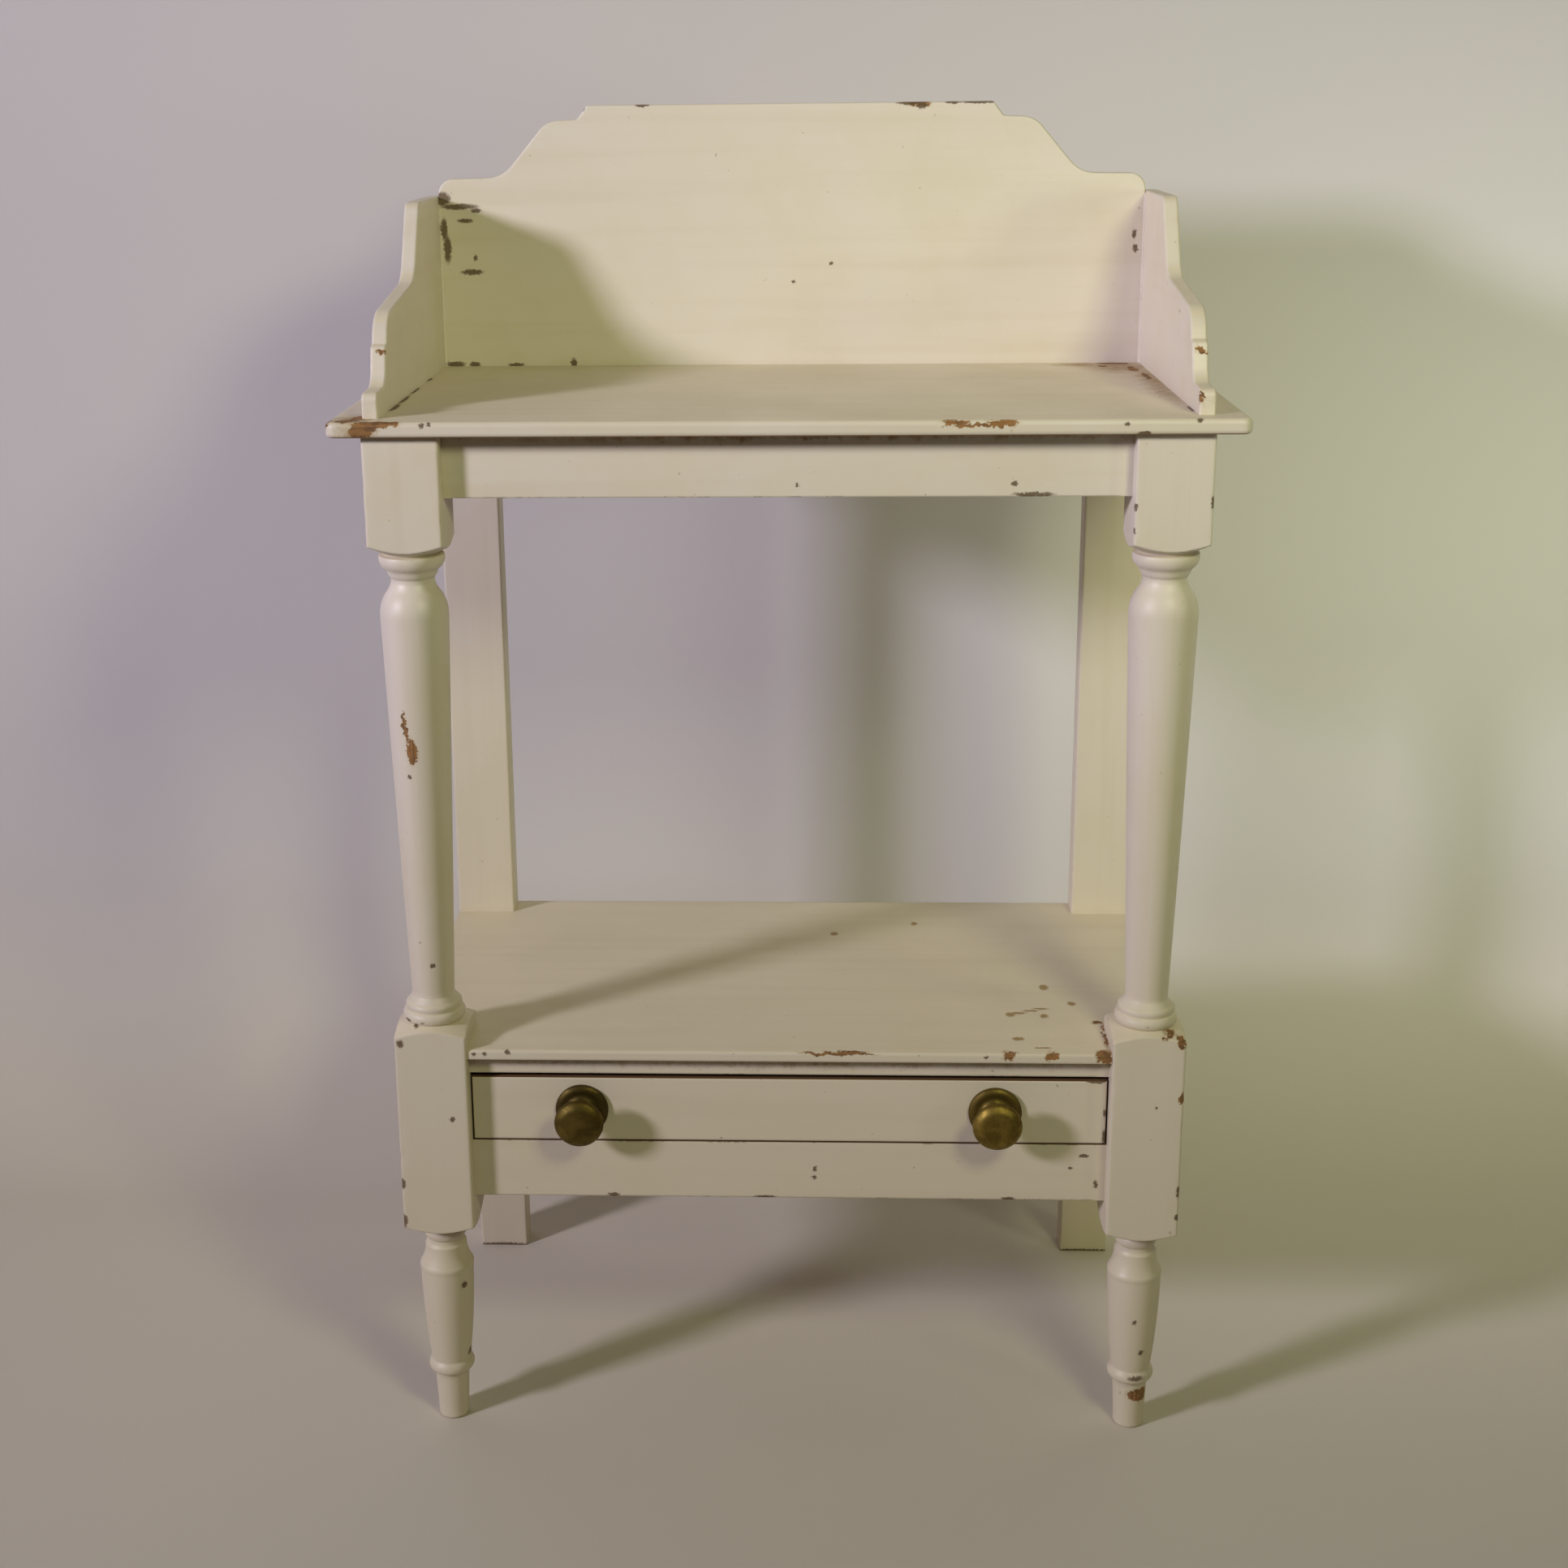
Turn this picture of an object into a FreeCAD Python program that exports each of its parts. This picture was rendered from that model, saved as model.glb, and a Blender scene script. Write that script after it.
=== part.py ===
import FreeCAD, Part
import math
import os

Vector = FreeCAD.Vector

# A painted pine washstand: a thin top with a shaped splashback and side galleries, two turned front
# legs, two plain back legs, a pot shelf and one shallow drawer under the shelf.
# Millimetres. +Z is up, the front faces -Y, and the origin lies on the floor under the middle.

# Top
top_width = 610.0
top_depth = 310.0
top_height = 768.0
top_thickness = 10.5
top_edge_radius = 3.2
top_corner_radius = 7.0

# Splashback and side galleries, which stand on the top
splashback_height = 198.0
splashback_thickness = 12.0
gallery_height = 131.0
gallery_thickness = 11.0
gallery_end_setback = 22.0
gallery_front_setback = 19.0
gallery_edge_radius = 1.5

# Front legs: square blocks, turned between them and below
leg_square = 52.0
leg_end_setback = 22.0
leg_front_setback = 9.0
leg_arris_radius = 1.6
block_below_apron = 35.9
block_above_shelf = 14.2
block_below_case = 25.8
leg_neck_height = 48.0
leg_ring_height = 22.0

# Back legs: flat boards whose feet taper on the outer edge
back_leg_width = 46.5
back_leg_thickness = 25.0
back_leg_inset = 4.0
back_foot_taper = 7.0
back_leg_arris_radius = 1.5

# Rails under the top and round the drawer
apron_height = 43.9
rail_thickness = 18.0
rail_setback = 12.5
lower_rail_height = 44.7
drawer_top_rail_height = 14.1

# Mortise and tenon joints
tenon_thickness = 8.0
tenon_shoulder = 4.0
tenon_end_gap = 1.0
mortise_web = 2.0
side_mortise_depth = 22.0
back_mortise_web = 9.0

# Pot shelf
shelf_height = 313.0
shelf_thickness = 8.0
shelf_front_setback = 2.0
shelf_edge_radius = 2.0

# Drawer
drawer_front_height = 49.6
drawer_front_thickness = 19.0
drawer_side_thickness = 10.0
drawer_back_thickness = 10.0
drawer_back_drop = 4.0
drawer_bottom_thickness = 6.0
drawer_bottom_rise = 7.0
drawer_groove_depth = 5.0
drawer_groove_play = 0.3
drawer_dovetail_length = 13.0
drawer_edge_radius = 1.2
drawer_top_gap = 3.5
drawer_bottom_gap = 0.8
drawer_side_gap = 1.0
drawer_stop_depth = 10.0
drawer_stop_height = 20.0
drawer_stop_gap = 0.3
runner_height = 18.0
runner_lip = 6.0
guide_height = 24.0

# Brass knobs
knob_end_setback = 80.2
knob_radius = 19.2
knob_projection = 30.0
knob_stud_radius = 2.6
knob_stud_spare = 2.0
knob_nut_side = 10.0
knob_nut_thickness = 4.5
knob_washer_radius = 9.0
knob_washer_thickness = 1.6
knob_hole_clearance = 0.15

# Glue blocks, screws and nails
glue_block_leg = 18.0
glue_block_length = 50.0
screw_radius = 1.8
screw_head_radius = 3.8
screw_head_depth = 2.4
screw_grip = 16.0
nail_radius = 1.2
nail_head_radius = 2.6
nail_head_depth = 1.2
nail_length = 34.0
bottom_nail_length = 22.0
fastener_clearance = 0.1

# Cuts run this far past the face they break through
overrun = 2.0
# Two places closer than this are the same
same_place = 0.01

# Sawn outlines. Each row is a corner (along, up, radius): its place as shares of the piece's length
# and height, and the radius that it is rounded to as a share of the height.
splashback_shares = (
    (0.570, 1.000, 0.012),
    (0.599, 0.947, 0.020),
    (0.686, 0.942, 0.101),
    (0.816, 0.731, 0.131),
    (1.000, 0.727, 0.060),
    (1.000, 0.000, 0.0),
)
gallery_shares = (
    (0.000, 0.000, 0.0),
    (0.000, 1.000, 0.0),
    (0.333, 1.000, 0.092),
    (0.447, 0.587, 0.214),
    (0.818, 0.486, 0.190),
    (0.845, 0.340, 0.010),
    (0.863, 0.328, 0.020),
    (0.888, 0.136, 0.107),
    (1.000, 0.126, 0.038),
    (1.000, 0.000, 0.0),
)
# Turned outlines. Each row is (radius, down, bulge): the radius as a share of half the leg's square,
# the way down as a share of the stretch, and the rise of the arc that ends there as a share of its
# chord, outwards where it is above zero.
neck_shares = (
    (0.750, 0.080, 0.0),
    (0.860, 0.100, 0.0),
    (0.735, 0.300, 0.16),
    (0.690, 0.325, 0.0),
    (0.640, 0.400, 0.0),
    (0.580, 0.440, 0.0),
    (0.580, 0.500, -0.02),
    (0.735, 0.660, -0.05),
    (0.910, 1.000, 0.08),
)
ring_shares = (
    (0.580, 0.000, 0.001),
    (0.640, 0.110, -0.08),
    (0.720, 0.240, -0.04),
    (0.770, 0.420, 0.2),
    (0.765, 0.490, 0.0),
    (0.800, 0.520, 0.0),
    (0.790, 0.880, 0.22),
)
foot_shares = (
    (0.520, 0.032, 0.0),
    (0.520, 0.085, 0.22),
    (0.530, 0.105, 0.0),
    (0.590, 0.118, 0.0),
    (0.700, 0.196, -0.06),
    (0.715, 0.203, 0.0),
    (0.755, 0.236, 0.16),
    (0.560, 0.700, 0.014),
    (0.595, 0.708, 0.0),
    (0.520, 0.762, 0.28),
    (0.490, 0.770, 0.0),
    (0.430, 0.980, 0.0),
    (0.370, 1.000, 0.20),
)
pommel_inner_share = 0.78
pommel_slope_share = 0.46
pommel_reach_share = 1.05
# The knob, from the middle of its face back to the drawer: (radius, projection, bulge).
knob_shares = (
    (0.000, 1.000, 0.0),
    (0.600, 0.980, 0.02),
    (0.900, 0.860, 0.2),
    (0.850, 0.780, 0.15),
    (0.460, 0.560, -0.12),
    (0.430, 0.320, -0.1),
    (0.720, 0.150, -0.2),
    (1.000, 0.080, 0.12),
    (1.000, 0.000, 0.0),
    (0.000, 0.000, 0.0),
)
tail_width_share = 0.55
tail_slope_share = 1.0 / 6.0
side_tail_count = 2
gallery_screw_shares = (0.24, 0.52, 0.80)
splashback_nail_shares = (0.20, 0.50, 0.80)
bottom_nail_shares = (-0.6, 0.0, 0.6)
glue_block_shares = (-0.5, 0.5)

# Levels above the floor
top_under = top_height - top_thickness
apron_bottom = top_under - apron_height
shelf_under = shelf_height - shelf_thickness
opening_top = shelf_under - drawer_top_rail_height
drawer_top = opening_top - drawer_top_gap
drawer_front_bottom = drawer_top - drawer_front_height
opening_bottom = drawer_front_bottom - drawer_bottom_gap
case_bottom = opening_bottom - lower_rail_height

# Places across and along the stand
front_edge = -top_depth / 2
back_edge = top_depth / 2
leg_half = leg_square / 2
leg_x = top_width / 2 - leg_end_setback - leg_half
leg_y = front_edge + leg_front_setback + leg_half
leg_inner = leg_x - leg_half
leg_front = leg_y - leg_half
leg_back = leg_y + leg_half
rail_face = leg_front + rail_setback
rail_back = rail_face + rail_thickness
back_leg_outer = leg_x + leg_half - back_leg_inset
back_leg_inner = back_leg_outer - back_leg_width
back_leg_front = back_edge - back_leg_thickness
back_rail_front = back_leg_front + (back_leg_thickness - rail_thickness) / 2
side_rail_inner = leg_x - rail_thickness / 2
side_rail_outer = leg_x + rail_thickness / 2
gallery_outer = top_width / 2 - gallery_end_setback
gallery_inner = gallery_outer - gallery_thickness
front_mortise_depth = leg_half - tenon_thickness / 2 - mortise_web
back_mortise_depth = leg_x - tenon_thickness / 2 - mortise_web - back_leg_inner
rear_mortise_depth = back_leg_thickness - back_mortise_web

# Spans that several pieces share
front_rail_y = (rail_face, rail_back)
back_rail_y = (back_rail_front, back_rail_front + rail_thickness)
apron_z = (apron_bottom, top_under)
case_z = (case_bottom, shelf_under)
lower_rail_z = (case_bottom, opening_bottom)
drawer_top_rail_z = (opening_top, shelf_under)
between_rails_y = (rail_back, back_rail_front)

sides = {"left": -1, "right": 1}
nodes = {}


def span(side, near, far):
    """The X span between two distances from the middle, left (-1) or right (1) of it."""
    return tuple(sorted((side * near, side * far)))


def board(x_span, y_span, z_span):
    """A square-edged board between its lowest and highest corner."""
    low = Vector(x_span[0], y_span[0], z_span[0])
    return Part.makeBox(x_span[1] - x_span[0], y_span[1] - y_span[0], z_span[1] - z_span[0], low)


def outline_edge(start, end, place):
    """One side of an outline: straight, or an arc that rises by its bulge to the left of its way."""
    bulge = end[2]
    first = place(start[0], start[1])
    last = place(end[0], end[1])
    if bulge == 0:
        return Part.LineSegment(first, last).toShape()
    across = end[0] - start[0]
    up = end[1] - start[1]
    middle = place((start[0] + end[0]) / 2 - bulge * up, (start[1] + end[1]) / 2 + bulge * across)
    return Part.Arc(first, middle, last).toShape()


def outline(points, place):
    """A flat face with the closed outline that runs clockwise through the points."""
    edges = [outline_edge(points[i - 1], points[i], place) for i in range(len(points))]
    return Part.Face(Part.Wire(edges))


def scaled(shares, width, height):
    """A table of shares as lengths."""
    return [(along * width, up * height, bulge) for along, up, bulge in shares]


def corners_of(shares, width, height):
    """A table of corner shares as lengths."""
    return [(along * width, up * height, radius * height) for along, up, radius in shares]


def mirrored(half):
    """A right half outline, from the top down, with its mirror image ahead of it."""
    return [(-along, up, radius) for along, up, radius in half[::-1]] + half


def rounded(corners):
    """Outline points for corners (along, up, radius), each turned on an arc that meets both sides."""
    points = []
    for i, (along, up, radius) in enumerate(corners):
        if radius == 0:
            points.append((along, up, 0.0))
            continue
        before = corners[i - 1]
        after = corners[(i + 1) % len(corners)]
        way_in = Vector(along - before[0], up - before[1], 0).normalize()
        way_out = Vector(after[0] - along, after[1] - up, 0).normalize()
        turn = way_in.getAngle(way_out)
        reach = radius * math.tan(turn / 2)
        bulge = math.copysign(math.tan(turn / 4) / 2, -way_in.cross(way_out).z)
        points.append((along - reach * way_in.x, up - reach * way_in.y, 0.0))
        points.append((along + reach * way_out.x, up + reach * way_out.y, bulge))
    return points


def softened(shape, radius, wanted):
    """The shape with a round of the radius on each edge that the test picks by its middle."""
    edges = [edge for edge in shape.Edges if wanted(edge, edge.BoundBox.Center)]
    return shape.makeFillet(radius, edges)


def flat_across(edge, axis):
    """True for an edge that lies in one plane across an axis."""
    box = edge.BoundBox
    return {"x": box.XLength, "y": box.YLength, "z": box.ZLength}[axis] < same_place


def screw(base, axis, length, head_radius, head_depth, radius, spare):
    """A screw or nail whose countersunk head starts at base; spare grows it into its own hole."""
    head = Part.makeCone(head_radius + spare, radius + spare, head_depth, base, axis)
    shank = Part.makeCylinder(radius + spare, length + spare, base, axis)
    return head.fuse(shank).removeSplitter()


def cut_all(shape, tools):
    """The shape less every tool."""
    return shape.cut(Part.makeCompound(tools)) if tools else shape


# Mortise and tenon joints: each tenon is a tongue half hidden in a mortise that is a little deeper
def cross_tenon(side, end, length, y_span, z_span):
    """The tongue on the left or right end of a rail that runs across the stand."""
    middle = sum(y_span) / 2
    tongue_y = (middle - tenon_thickness / 2, middle + tenon_thickness / 2)
    tongue_z = (z_span[0] + tenon_shoulder, z_span[1] - tenon_shoulder)
    return board(span(side, end, end + length), tongue_y, tongue_z)


def side_tenon(side, y_span, z_span):
    """The tongue on the front or back end of a side rail."""
    tongue_x = span(side, leg_x - tenon_thickness / 2, leg_x + tenon_thickness / 2)
    return board(tongue_x, y_span, (z_span[0] + tenon_shoulder, z_span[1] - tenon_shoulder))


def cross_rail(end, y_span, z_span, mortise_depth):
    """A rail from leg to leg across the stand, with a tongue at each end."""
    rail = board((-end, end), y_span, z_span)
    for side in sides.values():
        rail = rail.fuse(cross_tenon(side, end, mortise_depth - tenon_end_gap, y_span, z_span))
    return rail.removeSplitter()


def side_rail(side, z_span):
    """A rail from a front leg to the back leg behind it."""
    rail = board(span(side, side_rail_inner, side_rail_outer), (leg_back, back_leg_front), z_span)
    front_y = (leg_back - side_mortise_depth + tenon_end_gap, leg_back)
    back_y = (back_leg_front, back_leg_front + rear_mortise_depth - tenon_end_gap)
    tongues = [side_tenon(side, front_y, z_span), side_tenon(side, back_y, z_span)]
    return rail.multiFuse(tongues).removeSplitter()


def front_leg_mortises(side):
    """The pockets that the rails' tongues enter in one front leg."""
    side_y = (leg_back - side_mortise_depth, leg_back)
    pockets = [side_tenon(side, side_y, apron_z), side_tenon(side, side_y, case_z)]
    for z_span in (apron_z, drawer_top_rail_z, lower_rail_z):
        pockets.append(cross_tenon(side, leg_inner, front_mortise_depth, front_rail_y, z_span))
    return pockets


def back_leg_mortises(side):
    """The pockets that the rails' tongues enter in one back leg."""
    side_y = (back_leg_front, back_leg_front + rear_mortise_depth)
    pockets = [side_tenon(side, side_y, apron_z), side_tenon(side, side_y, case_z)]
    for z_span in (apron_z, case_z):
        pockets.append(cross_tenon(side, back_leg_inner, back_mortise_depth, back_rail_y, z_span))
    return pockets


# Front legs: one lathe profile from top to floor, kept square where the rails join
def turned_stretch(shares, upper, lower):
    """Lathe points from an upper to a lower level; shares count down from the upper one."""
    return [(radius * leg_half, upper - down * (upper - lower), bulge) for radius, down, bulge in shares]


def pommel(level, towards):
    """The sloping end of a square block: its wide point, then its narrow one, in the given order."""
    reach = leg_half * math.sqrt(2) * pommel_reach_share
    inner = leg_half * pommel_inner_share
    slope = pommel_slope_share * towards
    wide = (reach, level - slope * (reach - leg_half), 0.0)
    narrow = (inner, level + slope * (leg_half - inner), 0.0)
    return wide, narrow


def lathe_points():
    """The leg's half outline, radius against height, from the top block down to the floor."""
    upper_end = apron_bottom - block_below_apron
    lower_start = shelf_height + block_above_shelf
    foot_start = case_bottom - block_below_case
    reach = leg_half * math.sqrt(2) * pommel_reach_share
    points = [(0.0, top_under, 0.0), (reach, top_under, 0.0)]
    points += pommel(upper_end, -1)
    points += turned_stretch(neck_shares, upper_end, upper_end - leg_neck_height)
    points += turned_stretch(ring_shares, lower_start + leg_ring_height, lower_start)
    points += pommel(lower_start, 1)[::-1]
    points += pommel(foot_start, -1)
    points += turned_stretch(foot_shares, foot_start, 0.0)
    points.append((0.0, 0.0, 0.0))
    return points


def square_post(height):
    """A square post about the Z axis with rounded arrises."""
    post = Part.makeBox(leg_square, leg_square, height, Vector(-leg_half, -leg_half, 0))
    return softened(post, leg_arris_radius, lambda edge, _: edge.BoundBox.ZLength > leg_square)


def front_leg(side):
    turned = outline(lathe_points(), lambda radius, height: Vector(radius, 0, height))
    turned = turned.revolve(Vector(0, 0, 0), Vector(0, 0, 1), 360)
    leg = square_post(top_under).common(turned)
    leg.translate(Vector(side * leg_x, leg_y, 0))
    return cut_all(leg, front_leg_mortises(side))


def back_leg(side):
    points = [
        (back_leg_inner, 0.0, 0.0),
        (back_leg_inner, top_under, 0.0),
        (back_leg_outer, top_under, 0.0),
        (back_leg_outer, case_bottom, 0.0),
        (back_leg_outer - back_foot_taper, 0.0, 0.0),
    ]
    face = outline(points, lambda across, height: Vector(side * across, back_leg_front, height))
    leg = face.extrude(Vector(0, back_leg_thickness, 0))
    leg = softened(leg, back_leg_arris_radius, lambda edge, middle: edge.BoundBox.ZLength > leg_square)
    return cut_all(leg, back_leg_mortises(side))


# Top, splashback and galleries
def rounded_top():
    half = top_width / 2
    corners = [
        (-half, back_edge, 0.0),
        (half, back_edge, 0.0),
        (half, front_edge, top_corner_radius),
        (-half, front_edge, top_corner_radius),
    ]
    face = outline(rounded(corners), lambda across, along: Vector(across, along, top_under))
    top = face.extrude(Vector(0, 0, top_thickness))
    return softened(
        top, top_edge_radius,
        lambda edge, middle: flat_across(edge, "z") and middle.y < back_edge - same_place)


def splashback_solid():
    half = corners_of(splashback_shares, gallery_inner, splashback_height)
    back_face = back_edge - splashback_thickness
    points = rounded(mirrored(half))
    face = outline(points, lambda across, up: Vector(across, back_face, top_height + up))
    panel = face.extrude(Vector(0, splashback_thickness, 0))
    shoulder = top_height + gallery_height + same_place
    return softened(
        panel, gallery_edge_radius,
        lambda edge, middle: flat_across(edge, "y") and edge.BoundBox.ZMin > shoulder)


def gallery_length():
    return top_depth - gallery_front_setback


def gallery(side):
    points = rounded(corners_of(gallery_shares, gallery_length(), gallery_height))
    near = side * gallery_inner
    face = outline(points, lambda forward, up: Vector(near, back_edge - forward, top_height + up))
    panel = face.extrude(Vector(side * gallery_thickness, 0, 0))
    return softened(
        panel, gallery_edge_radius,
        lambda edge, middle: (flat_across(edge, "x") and middle.z > top_height + same_place
                              and middle.y < back_edge - same_place))


def gallery_screws(side, spare):
    """Screws that come up through the top into a gallery's lower edge."""
    middle = side * (gallery_inner + gallery_outer) / 2
    places = [back_edge - share * gallery_length() for share in gallery_screw_shares]
    return [screw(Vector(middle, y, top_under), Vector(0, 0, 1), top_thickness + screw_grip,
                  screw_head_radius, screw_head_depth, screw_radius, spare) for y in places]


def splashback_nails(side, spare):
    """Nails driven through a gallery's back end into the end of the splashback."""
    depth = back_edge - splashback_thickness / 2
    levels = [top_height + share * gallery_height for share in splashback_nail_shares]
    return [screw(Vector(side * gallery_outer, depth, z), Vector(-side, 0, 0), nail_length,
                  nail_head_radius, nail_head_depth, nail_radius, spare) for z in levels]


# Pot shelf, let in round all four legs
def pot_shelf():
    front = leg_front + shelf_front_setback
    shelf_z = (shelf_under, shelf_height)
    shelf = board((-back_leg_outer, back_leg_outer), (front, back_edge), shelf_z)
    notch_z = (shelf_under - overrun, shelf_height + overrun)
    notches = []
    for side in sides.values():
        past = back_leg_outer + overrun
        behind = back_edge + overrun
        notches.append(board(span(side, leg_inner, past), (front - overrun, leg_back), notch_z))
        notches.append(board(span(side, back_leg_inner, past), (back_leg_front, behind), notch_z))
    shelf = cut_all(shelf, notches)
    return softened(
        shelf, shelf_edge_radius,
        lambda edge, middle: flat_across(edge, "z") and abs(middle.y - front) < same_place)


# Drawer
drawer_half = leg_inner - drawer_side_gap
drawer_side_inner = drawer_half - drawer_side_thickness
runner_inner = drawer_side_inner - runner_lip
drawer_front_inside = rail_face + drawer_front_thickness
drawer_rear = back_rail_front - drawer_stop_depth - drawer_stop_gap
drawer_back_inside = drawer_rear - drawer_back_thickness
drawer_floor_under = opening_bottom + drawer_bottom_rise
drawer_floor = drawer_floor_under + drawer_bottom_thickness
drawer_side_z = (opening_bottom, drawer_top)
drawer_back_z = (drawer_floor, drawer_top - drawer_back_drop)
groove_z = (drawer_floor_under, drawer_floor + drawer_groove_play)
groove_front = drawer_front_inside - drawer_groove_depth
groove_half = drawer_side_inner + drawer_groove_depth
drawer_middle = (drawer_front_bottom + drawer_top) / 2
knob_x = drawer_half - knob_end_setback


def tails(side, shoulder, end, z_span):
    """The dovetails on one end of a drawer side: they widen from the shoulder to the end."""
    pitch = (z_span[1] - z_span[0]) / side_tail_count
    narrow = pitch * tail_width_share / 2
    wide = narrow + abs(end - shoulder) * tail_slope_share
    shapes = []
    for number in range(side_tail_count):
        middle = z_span[0] + pitch * (number + 1) - pitch / 2
        points = [(shoulder, middle - narrow, 0.0), (end, middle - wide, 0.0),
                  (end, middle + wide, 0.0), (shoulder, middle + narrow, 0.0)]
        face = outline(points, lambda along, up: Vector(side * drawer_side_inner, along, up))
        shapes.append(face.extrude(Vector(side * drawer_side_thickness, 0, 0)))
    return shapes


def front_tails(side):
    return tails(side, drawer_front_inside, drawer_front_inside - drawer_dovetail_length, drawer_side_z)


def back_tails(side):
    return tails(side, drawer_back_inside, drawer_rear, drawer_back_z)


def drawer_back_board():
    return board((-drawer_half, drawer_half), (drawer_back_inside, drawer_rear), drawer_back_z)


def drawer_side(side):
    along_y = (drawer_front_inside, drawer_rear)
    panel = board(span(side, drawer_side_inner, drawer_half), along_y, drawer_side_z)
    panel = panel.cut(drawer_back_board())
    panel = panel.multiFuse(front_tails(side) + back_tails(side)).removeSplitter()
    groove_x = span(side, drawer_side_inner - overrun, groove_half)
    return panel.cut(board(groove_x, (groove_front, drawer_rear + overrun), groove_z))


def stud_hole(side, start, length):
    """A hole for a knob's stud through a piece that starts at a depth and has a thickness."""
    return Part.makeCylinder(knob_stud_radius + knob_hole_clearance, length + overrun + overrun,
                             Vector(side * knob_x, start - overrun, drawer_middle), Vector(0, 1, 0))


def drawer_front():
    front_z = (drawer_front_bottom, drawer_top)
    panel = board((-drawer_half, drawer_half), (rail_face, drawer_front_inside), front_z)
    panel = softened(
        panel, drawer_edge_radius,
        lambda edge, middle: flat_across(edge, "y") and middle.y < rail_face + same_place)
    groove = board((-groove_half, groove_half), (groove_front, drawer_front_inside + overrun), groove_z)
    stud_holes = [stud_hole(side, rail_face, drawer_front_thickness) for side in sides.values()]
    return cut_all(panel, [groove] + front_tails(-1) + front_tails(1) + stud_holes)


def drawer_floor_panel():
    half = groove_half - drawer_groove_play
    along = (groove_front + drawer_groove_play, drawer_rear)
    return board((-half, half), along, (drawer_floor_under, drawer_floor))


def floor_nails(spare):
    """Nails up through the drawer's floor into its back."""
    depth = (drawer_back_inside + drawer_rear) / 2
    return [screw(Vector(share * drawer_side_inner, depth, drawer_floor_under), Vector(0, 0, 1),
                  bottom_nail_length, nail_head_radius, nail_head_depth, nail_radius, spare)
            for share in bottom_nail_shares]


def knob(side):
    """A turned brass knob with a rose behind it and a stud through the drawer front."""
    points = scaled(knob_shares, knob_radius, knob_projection)
    face = outline(points, lambda radius, out: Vector(radius, -out, 0))
    turned = face.revolve(Vector(0, 0, 0), Vector(0, 1, 0), 360)
    stud_length = drawer_front_thickness + knob_washer_thickness + knob_nut_thickness + knob_stud_spare
    stud = Part.makeCylinder(knob_stud_radius, stud_length, Vector(0, 0, 0), Vector(0, 1, 0))
    turned = turned.fuse(stud).removeSplitter()
    turned.translate(Vector(side * knob_x, rail_face, drawer_middle))
    return turned


def knob_washer(side):
    centre = Vector(side * knob_x, drawer_front_inside, drawer_middle)
    disc = Part.makeCylinder(knob_washer_radius, knob_washer_thickness, centre, Vector(0, 1, 0))
    return disc.cut(stud_hole(side, drawer_front_inside, knob_washer_thickness))


def knob_nut(side):
    start = drawer_front_inside + knob_washer_thickness
    half = knob_nut_side / 2
    block = board((side * knob_x - half, side * knob_x + half), (start, start + knob_nut_thickness),
                  (drawer_middle - half, drawer_middle + half))
    return block.cut(stud_hole(side, start, knob_nut_thickness))


# Strips that carry and guide the drawer between the front and back rails
def strip(side, level):
    """A strip along a lower side rail, from rail to rail, notched round the legs at its ends."""
    piece = board(span(side, runner_inner, side_rail_inner), between_rails_y, level)
    past = side_rail_inner + overrun
    notch_z = (level[0] - overrun, level[1] + overrun)
    front_notch = board(span(side, leg_inner, past), (rail_back - overrun, leg_back), notch_z)
    back_notch = board(span(side, back_leg_inner, past), (back_leg_front, back_edge), notch_z)
    return cut_all(piece, [front_notch, back_notch])


def runner(side):
    return strip(side, (opening_bottom - runner_height, opening_bottom))


def guide(side):
    level = (opening_bottom, opening_bottom + guide_height)
    return board(span(side, leg_inner, side_rail_inner), (leg_back, back_leg_front), level)


def kicker(side):
    return strip(side, drawer_top_rail_z)


def drawer_stop(side):
    along_y = (back_rail_front - drawer_stop_depth, back_rail_front)
    level = (opening_bottom, opening_bottom + drawer_stop_height)
    return board(span(side, drawer_side_inner, drawer_half), along_y, level)


# Rubbed glue blocks, three-cornered, in the angle between a rail and the board above it
def cross_block(middle, against, inwards, ceiling):
    points = [(0.0, 0.0, 0.0), (glue_block_leg, 0.0, 0.0), (0.0, -glue_block_leg, 0.0)]
    left = middle - glue_block_length / 2
    face = outline(points, lambda out, up: Vector(left, against + inwards * out, ceiling + up))
    return face.extrude(Vector(glue_block_length, 0, 0))


def side_block(side, ceiling):
    points = [(0.0, 0.0, 0.0), (glue_block_leg, 0.0, 0.0), (0.0, -glue_block_leg, 0.0)]
    start = (leg_back + back_leg_front - glue_block_length) / 2
    face = outline(points, lambda out, up: Vector(side * (side_rail_inner - out), start, ceiling + up))
    return face.extrude(Vector(0, glue_block_length, 0))


def top_glue_blocks():
    blocks = [side_block(side, top_under) for side in sides.values()]
    for share in glue_block_shares:
        blocks.append(cross_block(share * leg_inner, rail_back, 1, top_under))
        blocks.append(cross_block(share * leg_inner, back_rail_front, -1, top_under))
    return blocks


def shelf_glue_blocks():
    return [cross_block(share * leg_inner, back_rail_front, -1, shelf_under) for share in glue_block_shares]


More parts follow.
